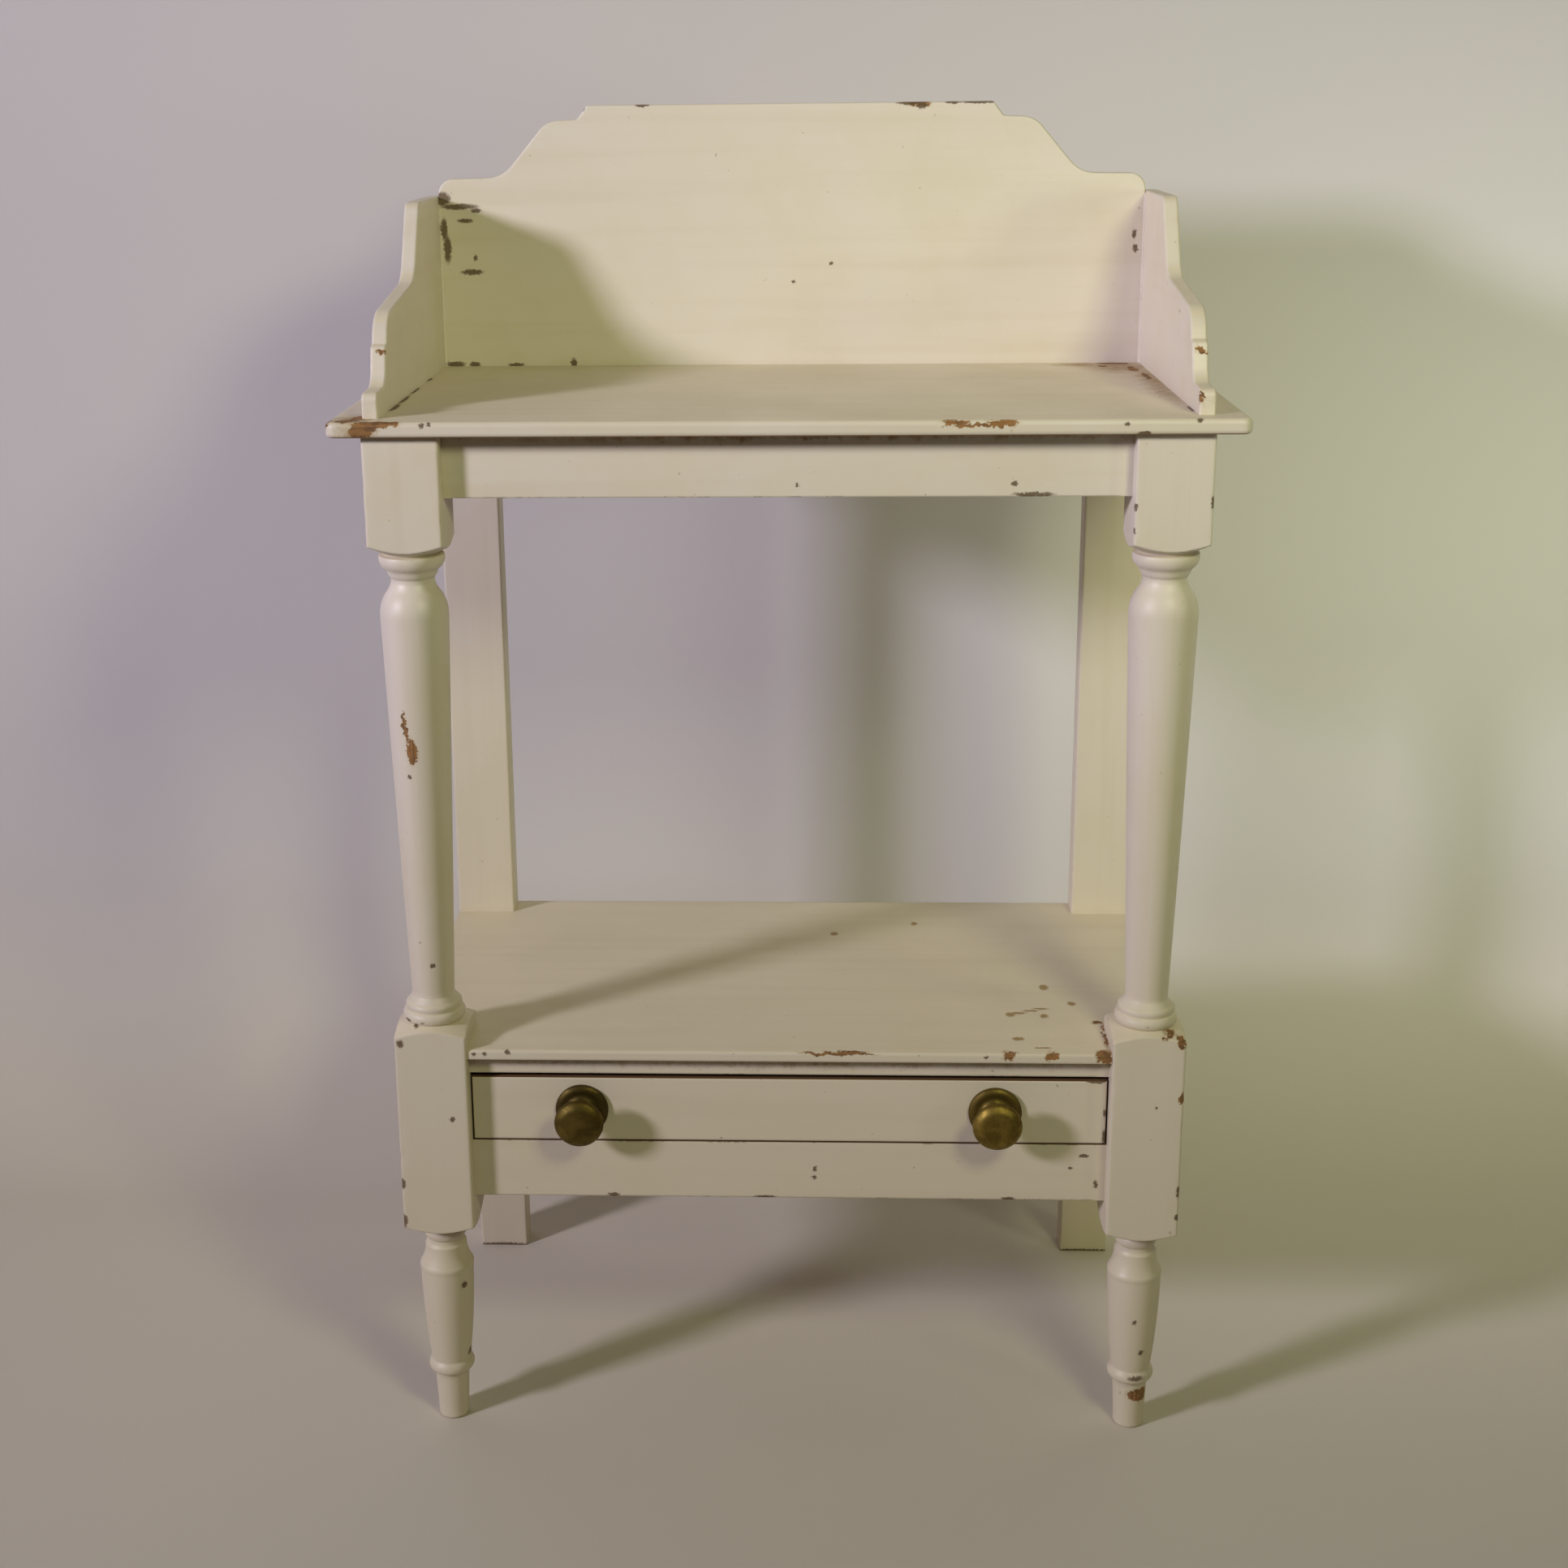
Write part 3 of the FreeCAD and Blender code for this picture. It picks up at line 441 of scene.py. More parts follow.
# Painted shadow: a dark band along this rail's top, under the shelf's overhang.
worn["drawer_top_rail"] = {"stains_and_shadows": [(0, -133.5, 307, 300, 40, 10)]}
worn["lower_front_rail"] = {
    "knocks_and_shade": [
        (19.6, -133.5, 209, 1.6, 5, 1.4), (20, -133.5, 216, 1.3, 5, 2.1), (215, -133.5, 228, 3.8, 5, 1.3),
        (205, -133.5, 218.4, 1.5, 5, 1.3), (-128, -133.5, 193.5, 4, 5, 1.5),
        (-17, -133.5, 192.8, 7.5, 5, 1.1), (161, -133.5, 193, 4.5, 5, 1.4), (224, -133.5, 205, 1.5, 5, 3.2)],
}
worn["drawer_front"] = {
    "knocks_and_shade": [
        (229, -133.5, 243, 1.6, 5, 6), (228.6, -133.5, 262, 1.1, 5, 3), (222, -133.5, 286.8, 7, 5, 1.2)],
}
# Painted shade: a thin dark band along each back foot's bottom, where it meets the floor, with some dirt.
worn["back_leg_left"] = {"knocks_and_shade": [(-256, 130, 0.6, 24, 6, 1.5)]}
worn["back_leg_right"] = {"knocks_and_shade": [(252, 130, 0.6, 24, 6, 1.3)]}
print("worn places listed:", sum(len(rows) for wear in worn.values() for rows in wear.values()))

# %% [markdown]
# ## Painting the boards
# The boards keep their solids, because their planed shapes are already right. Each one gets its own mix of
# paint, with the brush following its length, and its own seed. Backs and undersides, which nobody sees, were
# left bare. The edges round the drawer are bare too, and darkened: partly soil from hands and partly painted
# shade for the narrow gap round the drawer.

# %% Paint the boards
painted_boards = [
    ("table_top", "x", ["-z"]), ("splashback", "x", ["+y"]),
    ("side_gallery_left", "y", []), ("side_gallery_right", "y", []),
    ("back_leg_left", "z", ["+y"]), ("back_leg_right", "z", ["+y"]),
    ("top_front_rail", "x", ["+y"]), ("top_back_rail", "x", ["+y"]),
    ("top_side_rail_left", "y", ["+x"]), ("top_side_rail_right", "y", ["-x"]), ("pot_shelf", "x", ["-z"]),
    ("drawer_top_rail", "x", ["+y", "-z"]), ("lower_front_rail", "x", ["+y", "+z"]),
    ("lower_back_rail", "x", ["+y"]), ("lower_side_rail_left", "y", ["+x"]),
    ("lower_side_rail_right", "y", ["-x"]), ("drawer_front", "x", ["+y", "+z", "-z", "+x", "-x"]),
]
# How dark the bare edges round the drawer are: soil from hands, and painted shade for the narrow gap.
soiled_and_shaded_edges = {"drawer_front": 0.92, "drawer_top_rail": 0.7, "lower_front_rail": 0.7}


def dress(node, finish):
    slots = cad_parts[node].data.materials
    slots.clear()
    slots.append(finish)


for seed, (node, grain, bare) in enumerate(painted_boards, 1):
    soil_and_shade = soiled_and_shaded_edges.get(node, CLEAN)
    dress(node, cream_paint("cream_paint_" + node, grain, seed, worn.get(node, {}), bare, soil_and_shade))
print("boards painted:", len(painted_boards))

# %% Leave the pine bare
pine_boards = {
    "drawer_runner_left": "y", "drawer_runner_right": "y", "drawer_guide_left": "y",
    "drawer_guide_right": "y", "drawer_kicker_left": "y", "drawer_kicker_right": "y",
    "drawer_stops": "x", "top_glue_blocks": "x", "shelf_glue_blocks": "x", "drawer_side_left": "y",
    "drawer_side_right": "y", "drawer_back": "x", "drawer_bottom": "x",
}
for seed, (node, grain) in enumerate(pine_boards.items(), 31):
    dress(node, bare_pine("bare_pine_" + node, grain, seed))
print("boards left bare:", len(pine_boards))

# %% [markdown]
# ## A lathe in Geometry Nodes
# A turner starts from a square stick and cuts a profile into it while it spins. Where the profile is
# wider than the stick, the stick's own square is left: that is the block, and its rounded shoulder is the
# pommel. The tree copies this. It takes the profile as a row of points, wraps a grid round the axis, and
# pulls each ring in where it would leave the stick. Points crowd towards the four arrises, because that
# is where the section turns sharply. The same lathe turns the legs, and the knobs with their studs.

# %% Build the lathe
SQUARENESS, DENTS, SAME_POINT, CRISP_FOLD = 36.0, 60.0, 0.01 * MM, radians(32)


def add_inputs(tree, inputs):
    sockets = {}
    for name, kind, value in inputs:
        socket = tree.interface.new_socket(name, in_out="INPUT", socket_type="NodeSocket" + kind)
        if value is not None:
            socket.default_value = value
        sockets[name] = socket.identifier
    tree.interface.new_socket("Geometry", in_out="OUTPUT", socket_type="NodeSocketGeometry")
    return sockets


def held_in_square(plan, across, deep, half_square):
    shares = [plan.math("DIVIDE", side, half_square) for side in (across, deep)]
    reach = [plan.math("POWER", plan.math("ABSOLUTE", share), SQUARENESS) for share in shares]
    reach = plan.math("POWER", plan.math("ADD", reach[0], reach[1]), 1 / SQUARENESS)
    keep = plan.math("MINIMUM", 1.0, plan.math("DIVIDE", 1.0, plan.math("MAXIMUM", reach, 0.001)))
    ring = plan.first("ShaderNodeCombineXYZ", {"X": across, "Y": deep})
    return plan.vector("SCALE", ring, scale=keep)


def build_lathe():
    tree = bpy.data.node_groups.new("lathe", "GeometryNodeTree")
    sockets = add_inputs(tree, [
        ("Profile", "Geometry", None), ("Sides", "Int", 144), ("Half Square", "Float", 1.0),
        ("Crowding", "Float", 0.0), ("Thread Pitch", "Float", 1.0), ("Thread Depth", "Float", 0.0),
        ("Thread Below", "Float", -1.0), ("Knocks", "Float", 0.0), ("Axis At", "Vector", None),
        ("Axis Turn", "Rotation", None), ("Finish", "Material", None),
    ])
    plan = Recipe(tree)
    given = plan.node("NodeGroupInput").outputs
    rows = plan.node("GeometryNodeAttributeDomainSize", {"Geometry": given["Profile"]}, component="MESH")
    rows = rows.outputs["Point Count"]
    columns = plan.math("ADD", given["Sides"], 1.0)
    grid = plan.node("GeometryNodeMeshGrid", {"Vertices X": columns, "Vertices Y": rows}).outputs["Mesh"]
    index = plan.first("GeometryNodeInputIndex")
    column = plan.math("FLOOR", plan.math("DIVIDE", plan.math("ADD", index, 0.5), rows))
    row = plan.math("SUBTRACT", index, plan.times(column, rows))
    cut = plan.node("GeometryNodeSampleIndex", {"Geometry": given["Profile"], "Index": row},
                    data_type="FLOAT_VECTOR")
    plan.feed(cut.inputs["Value"], plan.first("GeometryNodeInputPosition"))
    station = plan.node("ShaderNodeSeparateXYZ", {0: cut.outputs["Value"]}).outputs

    share = plan.math("DIVIDE", column, given["Sides"])
    turn = plan.times(share, 2 * pi)
    crowd = plan.times(plan.math("SINE", plan.times(turn, 4.0)), given["Crowding"])
    angle = plan.math("MULTIPLY_ADD", crowd, 0.25, turn)
    lead = plan.math("ADD", plan.math("DIVIDE", station["Z"], given["Thread Pitch"]), share)
    twice = plan.times(given["Thread Depth"], 2.0)
    groove = plan.times(plan.math("PINGPONG", lead, 0.5), twice)
    groove = plan.times(groove, plan.math("LESS_THAN", station["Z"], given["Thread Below"]))
    radius = plan.math("MAXIMUM", plan.math("SUBTRACT", station["X"], groove), 0.0)
    across = plan.times(radius, plan.math("COSINE", angle))
    deep = plan.times(radius, plan.math("SINE", angle))
    ring = held_in_square(plan, across, deep, given["Half Square"])

    level = plan.upward(station["Z"])
    out = plan.math("DIVIDE", plan.vector("LENGTH", ring), given["Half Square"])
    stick = plan.vector("ADD", plan.vector("ADD", ring, level), given["Axis At"])
    dent = plan.noise(stick, DENTS, 4.0, 0.6)["Fac"]
    dent = plan.times(plan.spread(dent, 0.56, 0.74), plan.spread(out, 1.22, 1.36))
    dent = plan.math("SUBTRACT", 1.0, plan.times(dent, given["Knocks"]))
    stick = plan.vector("ADD", plan.vector("SCALE", ring, scale=dent), level)
    turned = plan.first("GeometryNodeSetPosition", {"Geometry": grid, "Position": stick})
    turned = plan.first("GeometryNodeMergeByDistance", {"Geometry": turned, "Distance": SAME_POINT})
    fold = plan.node("GeometryNodeInputMeshEdgeAngle").outputs["Unsigned Angle"]
    crisp = plan.math("GREATER_THAN", fold, CRISP_FOLD)
    feeds = {"Geometry": turned, "Name": "sharp_edge", "Value": crisp}
    turned = plan.first("GeometryNodeStoreNamedAttribute", feeds, data_type="BOOLEAN", domain="EDGE")
    feeds = {"Geometry": turned, "Translation": given["Axis At"], "Rotation": given["Axis Turn"]}
    turned = plan.first("GeometryNodeTransform", feeds)
    turned = plan.first("GeometryNodeRealizeInstances", {"Geometry": turned})
    turned = plan.first("GeometryNodeSetMaterial", {"Geometry": turned, "Material": given["Finish"]})
    plan.feed(plan.node("NodeGroupOutput").inputs[0], turned)
    return tree, sockets


lathe, lathe_sockets = build_lathe()
print("lathe nodes:", len(lathe.nodes))

# %% [markdown]
# ## Running a tree
# A tree is a modifier on a helper object. The finished shape is read off it as a plain mesh, the helper
# goes, and the new object rides on the stand or on the drawer. A mesh that encloses a negative volume is
# inside out, so its faces are turned round.

# %% Turn a tree's result into a piece
def enclosed(mesh):
    mesh.calc_loop_triangles()
    points = [v.co for v in mesh.vertices]
    corners = (t.vertices for t in mesh.loop_triangles)
    return sum(points[a].dot(points[b].cross(points[c])) for a, b, c in corners) / 6


def make_piece(name, start, tree, sockets, values, body, nodes):
    helper = bpy.data.objects.new(name + "_helper", start)
    bpy.context.scene.collection.objects.link(helper)
    modifier = helper.modifiers.new("shape", "NODES")
    modifier.node_group = tree
    for socket, value in values.items():
        modifier[sockets[socket]] = value
    bpy.context.view_layer.update()
    mesh = bpy.data.meshes.new_from_object(helper.evaluated_get(bpy.context.evaluated_depsgraph_get()))
    helper.modifiers.remove(modifier)
    bpy.data.objects.remove(helper)
    if enclosed(mesh) < 0:
        mesh.flip_normals()
    mesh.shade_smooth()
    mesh.name = name
    piece = bpy.data.objects.new(name, mesh)
    bpy.context.scene.collection.objects.link(piece)
    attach(piece, body)
    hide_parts(*nodes)
    volume = round(enclosed(mesh) * 1e6, 2)
    print(name, "triangles", len(mesh.loop_triangles), "volume cm3", volume)


# %% [markdown]
# ## The turned profile
# The profile is drawn the way a turner reads it off a pattern stick: radius, distance along, and how far
# each curve bellies out from its chord. Beads belly out, coves belly in, and fillets are straight. Rows are
# shares of the stick's half width and of their stretch of leg. A pommel is a cone cut across the stick: its
# wide and narrow ends are a radius and a distance from the block's end.

# %% Draw the leg's profile
neck_shares = [
    (.750, .080, 0), (.860, .100, 0), (.735, .300, .16), (.690, .325, 0), (.640, .400, 0), (.580, .440, 0),
    (.580, .500, -.02), (.735, .660, -.05), (.910, 1, .08),
]
ring_shares = [
    (.580, 0, .001), (.640, .110, -.08), (.720, .240, -.04), (.770, .420, .2), (.765, .490, 0),
    (.800, .520, 0), (.790, .880, .22),
]
foot_shares = [
    (.520, .032, 0), (.520, .085, .22), (.530, .105, 0), (.590, .118, 0), (.700, .196, -.06), (.715, .203, 0),
    (.755, .236, .16), (.560, .700, .014), (.595, .708, 0), (.520, .762, .28), (.490, .770, 0),
    (.430, .980, 0), (.370, 1, .20),
]
HALF = 26.0
TOP, BLOCK, NECK, RING, SHELF_BLOCK, FOOT_BLOCK = 757.5, 677.7, 629.7, 349.2, 327.2, 166.5
WIDE, NARROW = (38.61, 5.80), (20.28, -2.63)


def stretch(shares, start, end):
    return [(HALF * wide, start + (end - start) * down, belly) for wide, down, belly in shares]


def pommel(level, up=1):
    ends = [(WIDE[0], level + up * WIDE[1], 0), (NARROW[0], level + up * NARROW[1], 0)]
    return ends if up > 0 else ends[::-1]


leg_stations = [
    (0, TOP, 0), (WIDE[0], TOP, 0), *pommel(BLOCK), *stretch(neck_shares, BLOCK, NECK),
    *stretch(ring_shares, RING, SHELF_BLOCK), *pommel(SHELF_BLOCK, -1), *pommel(FOOT_BLOCK),
    *stretch(foot_shares, FOOT_BLOCK, 0), (0, 0, 0),
]
print("leg stations:", len(leg_stations))

# %% [markdown]
# The lathe wants points and not arcs, so this cell walks along the stations. Steps are short on curves and
# on the pommels, where the cone runs out over the square, and long on straight runs.

# %% Walk along a profile
CURVE_STEP, POMMEL_STEP, FILLET_STEP, PLAIN_STEP = 0.9, 0.5, 1.2, 4.0
POMMEL_CHORD = (15, 25)


def walk(stations, step):
    points = [stations[0][:2]]
    for (r0, h0, _), (r1, h1, belly) in zip(stations, stations[1:]):
        chord = ((r1 - r0) ** 2 + (h1 - h0) ** 2) ** 0.5
        if chord < 1e-6:
            continue
        count = max(1, round(chord / step(chord, belly)))
        half = 2 * atan(2 * abs(belly))
        for k in range(1, count + 1):
            t, rise = k / count, 0
            if half > 1e-4:
                swing = half * (2 * t - 1)
                t, rise = 0.5 + 0.5 * sin(swing) / sin(half), 0.5 * (cos(swing) - cos(half)) / sin(half)
                rise *= 1 if belly > 0 else -1
            points.append((r0 + (r1 - r0) * t - (h1 - h0) * rise, h0 + (h1 - h0) * t + (r1 - r0) * rise))
    return points


def profile_mesh(name, points):
    mesh = bpy.data.meshes.new(name)
    mesh.from_pydata([(r * MM, 0, h * MM) for r, h in points], [], [])
    return mesh


def leg_step(chord, belly):
    if abs(belly) > 0.01:
        return CURVE_STEP
    if POMMEL_CHORD[0] < chord < POMMEL_CHORD[1]:
        return POMMEL_STEP
    return FILLET_STEP if chord < POMMEL_CHORD[0] else PLAIN_STEP


leg_points = walk(leg_stations, leg_step)
print("leg profile points:", len(leg_points))

# %% [markdown]
# ## Turning the legs
# Both front legs come from one pattern. They differ only in place, knocks and paint.

# %% Turn and paint the front legs
for side, seed in (("left", 21), ("right", 22)):
    node = "front_leg_" + side
    low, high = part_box(node)
    paint = cream_paint("cream_paint_" + node, "z", seed, worn[node])
    values = {"Sides": 144, "Half Square": HALF * MM, "Crowding": 0.75, "Knocks": 0.035,
              "Axis At": ((low.x + high.x) / 2, (low.y + high.y) / 2, 0.0), "Finish": paint}
    make_piece("turned_leg_" + side, profile_mesh(node, leg_points), lathe, lathe_sockets, values,
               "stand", [node])

# %% [markdown]
# ## Tarnished brass knobs
# The knobs are turned from solid brass: a broad back plate, a waist, and a domed cap. The brass went
# nearly brown. It is brightest on the cap and the rims, where hands rub it, and darkest towards the plate,
# where it is tarnished and where painted shade stands for the shadow in the waist. The right knob is the
# brighter of the two. Metal is a metallic shader with a dark tint; tarnish raises the roughness. The nuts
# and washers, nails and screws are dull iron with a little rust.

# %% Mix the brass and the iron
BRASS_STEP, IRON_STEP = (0.41, 0.17, 0.29), (0.23, 0.31, 0.47)
BRASS_TINTS = {"browned": (0.165, 0.114, 0.022), "darkened": (0.085, 0.059, 0.010),
               "pitted_and_shaded": (0.046, 0.032, 0.007), "rubbed": (0.21, 0.155, 0.050)}
IRON, RUST = (0.070, 0.064, 0.058, 1), (0.120, 0.052, 0.022, 1)
KNOB_ARRIS, BRASS_PITS, IRON_PITS = 2.2 * MM, 0.2 * MM, 0.15 * MM
CAP_STARTS, WAIST_ENDS = 21 * MM, 14 * MM
PATCHES, BRASS_GRIT, RUST_SPOTS, IRON_GRIT = 95.0, 900.0, 260.0, 1500.0


def tarnished_brass(name, seed, back_at, shine):
    finish, mix, shader = new_finish(name)
    tint = {kind: tuple(shine * c for c in colour) + (1,) for kind, colour in BRASS_TINTS.items()}
    place = mix.node("ShaderNodeTexCoord").outputs["Object"]
    spot = mix.shifted(place, seed, BRASS_STEP)
    patches = mix.noise(spot, PATCHES, 5.0, 0.6)["Fac"]
    grit = mix.noise(spot, BRASS_GRIT, 3.0, 0.6)["Fac"]
    soft = mix.node("ShaderNodeBevel", {"Radius": KNOB_ARRIS}, samples=4).outputs["Normal"]
    flat = mix.node("ShaderNodeNewGeometry").outputs["Normal"]
    rubbed = mix.spread(mix.vector("DOT_PRODUCT", soft, flat), 0.995, 0.90, 0.0, 0.3)
    colour = mix.coat(tint["browned"], tint["darkened"], patches, 0.35, 0.65)
    colour = mix.coat(colour, tint["pitted_and_shaded"], grit, 0.58, 0.70, 0.5)
    colour = mix.blend(rubbed, colour, tint["rubbed"])
    # Painted shade: the waist and plate darken towards the drawer front, partly tarnish and partly shade.
    depth = mix.node("ShaderNodeSeparateXYZ", {0: place}).outputs["Y"]
    behind = mix.spread(depth, back_at - CAP_STARTS, back_at - WAIST_ENDS, 0.0, 0.6)
    colour = mix.blend(behind, colour, tint["pitted_and_shaded"])
    roughness = mix.spread(patches, 0.3, 0.7, 0.42, 0.56)
    mix.lay_on(shader, colour, roughness, mix.bump(grit, 0.12, BRASS_PITS, soft))
    shader.inputs["Metallic"].default_value = 0.85
    return finish


def dull_iron(name, seed):
    finish, mix, shader = new_finish(name)
    place = mix.node("ShaderNodeTexCoord").outputs["Object"]
    spot = mix.shifted(place, seed, IRON_STEP)
    rust = mix.noise(spot, RUST_SPOTS, 4.0, 0.6)["Fac"]
    grit = mix.noise(spot, IRON_GRIT, 2.0)["Fac"]
    colour = mix.coat(IRON, RUST, rust, 0.48, 0.68)
    roughness = mix.spread(rust, 0.3, 0.7, 0.45, 0.8)
    mix.lay_on(shader, colour, roughness, mix.bump(grit, 0.25, IRON_PITS))
    shader.inputs["Metallic"].default_value = 0.7
    return finish


print("brass and iron ready")

# %% [markdown]
# The knob's profile runs from the middle of its cap back to the plate, as shares of its radius and reach.
# Then comes the stud, which goes through the drawer front. At its threaded end the lathe cuts a groove that
# climbs by one pitch in each turn.

# %% Turn the knobs
knob_shares = [
    (0, 1, 0), (.46, .985, .012), (.80, .91, .10), (.925, .80, .12), (.86, .71, .14), (.49, .55, -.10),
    (.45, .32, -.1), (.72, .15, -.2), (1, .08, .12), (1, 0, 0),
]
KNOB, REACH, STUD, STUD_LONG = 19.2, 30.0, 2.6, 27.1
PITCH, THREAD_DEEP, THREAD_STARTS = 1.25, 0.4, 20.5
BELLY_STEP, THREAD_STEP, FLAT_STEP = 0.5, 0.22, 2.0
knob_stations = [(KNOB * wide, REACH * out, belly) for wide, out, belly in knob_shares]
knob_stations += [(STUD, 0, 0), (STUD, -STUD_LONG, 0), (0, -STUD_LONG, 0)]


def knob_step(chord, belly):
    if abs(belly) > 0.001:
        return BELLY_STEP
    return THREAD_STEP if chord > KNOB else FLAT_STEP


knob_points = walk(knob_stations, knob_step)
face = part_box("drawer_front")[0].y
for side, seed, shine in (("left", 41, 1.05), ("right", 42, 1.75)):
    node = "knob_" + side
    low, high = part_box(node)
    values = {"Sides": 72, "Thread Pitch": PITCH * MM, "Thread Depth": THREAD_DEEP * MM,
              "Thread Below": -THREAD_STARTS * MM, "Axis Turn": (pi / 2, 0.0, 0.0),
              "Axis At": ((low.x + high.x) / 2, face, (low.z + high.z) / 2),
              "Finish": tarnished_brass("tarnished_brass_" + side, seed, face, shine)}
    make_piece("turned_knob_" + side, profile_mesh(node, knob_points), lathe, lathe_sockets, values,
               "drawer", [node])
for seed, node in enumerate(("knob_washers", "knob_nuts"), 51):
    dress(node, dull_iron("dull_iron_" + node, seed))

# %% [markdown]
# ## Screws and nails
# Screws come up through the top into the galleries, nails go through the galleries into the splashback,
# and nails hold the drawer floor. They are small and alike, so one tree makes a head on a shank and sets a
# copy at each point, which stores the way its fastener points. A screw's head has a slot, and each copy is
# turned by its own fixed random angle, as a hand leaves it.

# %% Build the fastener tree
STRAIGHT, TAPER = 0.75, 0.25
HEAD_SIDES, SHANK_SIDES = 20, 12


def one_fastener(plan, given):
    radius, length = given["Shank Radius"], given["Length"]
    head = plan.node("GeometryNodeMeshCone", {
        "Vertices": HEAD_SIDES, "Side Segments": 1, "Fill Segments": 1, "Radius Top": radius,
        "Radius Bottom": given["Head Radius"], "Depth": given["Head Depth"]}).outputs["Mesh"]
    straight, taper = (plan.times(length, share) for share in (STRAIGHT, TAPER))
    shank = plan.node("GeometryNodeMeshCylinder", {
        "Vertices": SHANK_SIDES, "Radius": radius, "Depth": straight}).outputs["Mesh"]
    middle = plan.upward(plan.times(length, STRAIGHT / 2))
    shank = plan.first("GeometryNodeTransform", {"Geometry": shank, "Translation": middle})
    point = plan.node("GeometryNodeMeshCone", {
        "Vertices": SHANK_SIDES, "Radius Top": 0.0, "Radius Bottom": radius, "Depth": taper}).outputs["Mesh"]
    end = plan.upward(straight)
    point = plan.first("GeometryNodeTransform", {"Geometry": point, "Translation": end})

    slot_size = plan.first("ShaderNodeCombineXYZ", {
        "X": plan.times(given["Head Radius"], 2.4), "Y": given["Slot Width"],
        "Z": plan.times(given["Head Depth"], 0.9)})
    blade = plan.node("GeometryNodeMeshCube", {"Size": slot_size}).outputs["Mesh"]
    cut = plan.node("GeometryNodeMeshBoolean", {"Mesh 1": head}, operation="DIFFERENCE", solver="EXACT")
    plan.feed(cut.inputs["Mesh 2"], blade)
    wanted = plan.math("GREATER_THAN", given["Slot Width"], 0.0)
    feeds = {"Switch": wanted, "False": head, "True": cut.outputs["Mesh"]}
    slotted = plan.first("GeometryNodeSwitch", feeds, input_type="GEOMETRY")
    whole = plan.node("GeometryNodeJoinGeometry")
    for part in (slotted, shank, point):
        plan.feed(whole.inputs[0], part)
    return whole.outputs[0]


def build_fasteners():
    tree = bpy.data.node_groups.new("fasteners", "GeometryNodeTree")
    sockets = add_inputs(tree, [
        ("Places", "Geometry", None), ("Head Radius", "Float", 0.003), ("Head Depth", "Float", 0.001),
        ("Shank Radius", "Float", 0.001), ("Length", "Float", 0.02), ("Slot Width", "Float", 0.0),
        ("Finish", "Material", None),
    ])
    plan = Recipe(tree)
    given = plan.node("NodeGroupInput").outputs
    whole = one_fastener(plan, given)
    way = plan.node("GeometryNodeInputNamedAttribute", {"Name": "way"}, data_type="FLOAT_VECTOR")
    aim = plan.node("FunctionNodeAlignRotationToVector", {"Vector": way.outputs["Attribute"]}, axis="Z")
    spin = plan.node("FunctionNodeRandomValue", {"Min": 0.0, "Max": pi, "Seed": 7}, data_type="FLOAT")
    twist = plan.upward([s for s in spin.outputs if s.enabled][0])
    twist = plan.first("FunctionNodeEulerToRotation", {0: twist})
    feeds = {"Rotation": aim.outputs[0], "Rotate By": twist}
    turned = plan.first("FunctionNodeRotateRotation", feeds, rotation_space="LOCAL")
    spots = plan.first("GeometryNodeMeshToPoints", {"Mesh": given["Places"]})
    feeds = {"Points": spots, "Instance": whole, "Rotation": turned}
    driven = plan.first("GeometryNodeInstanceOnPoints", feeds)
    driven = plan.first("GeometryNodeRealizeInstances", {"Geometry": driven})
    driven = plan.first("GeometryNodeSetMaterial", {"Geometry": driven, "Material": given["Finish"]})
    plan.feed(plan.node("NodeGroupOutput").inputs[0], driven)
    return tree, sockets


fasteners, fastener_sockets = build_fasteners()
print("fastener nodes:", len(fasteners.nodes))

# %% Drive the screws and nails
SCREW = {"Head Radius": 3.8 * MM, "Head Depth": 2.4 * MM, "Shank Radius": 1.8 * MM, "Slot Width": 0.9 * MM}
NAIL = {"Head Radius": 2.6 * MM, "Head Depth": 1.2 * MM, "Shank Radius": 1.2 * MM}
GALLERY_MIDDLE, GALLERY_OUTSIDE, SPLASHBACK_MIDDLE = 277.5, 283, 149
FLOOR_UNDERSIDE, DRAWER_BACK_MIDDLE = 244, 118.2
UP = (0, 0, 1)


def fastener_places(name, rows):
    mesh = bpy.data.meshes.new(name)
    mesh.from_pydata([tuple(c * MM for c in place) for place, _ in rows], [], [])
    way = mesh.attributes.new("way", "FLOAT_VECTOR", "POINT")
    for item, (_, direction) in zip(way.data, rows):
        item.vector = direction
    return mesh


screw_rows = [((side * GALLERY_MIDDLE, y, TOP), UP) for side in (-1, 1) for y in (85.2, 3.7, -77.8)]
nail_rows = [((side * GALLERY_OUTSIDE, SPLASHBACK_MIDDLE, z), (-side, 0, 0))
             for side in (-1, 1) for z in (794.2, 833.5, 872.8)]
floor_rows = [((x, DRAWER_BACK_MIDDLE, FLOOR_UNDERSIDE), UP) for x in (-132, 0, 132)]
sets = {
    "gallery_screws": ("stand", screw_rows, {**SCREW, "Length": 26.5 * MM}),
    "splashback_nails": ("stand", nail_rows, {**NAIL, "Length": 34 * MM}),
    "drawer_floor_nails": ("drawer", floor_rows, {**NAIL, "Length": 22 * MM}),
}
for seed, (node, (body, rows, sizes)) in enumerate(sets.items(), 61):
    sizes["Finish"] = dull_iron("dull_iron_" + node, seed)
    make_piece("driven_" + node, fastener_places(node, rows), fasteners, fastener_sockets, sizes,
               body, [node])

# %% [markdown]
# ## Paint in the corners
# The splashback's ends are rounded, so a dark groove would show where they meet the galleries. On the real
# stand many coats of paint have filled it with a small hollow bead. Each bead is a quarter hollow drawn in
# plan and pulled up the corner. It wears the splashback's own paint, so the knocks run on across it.

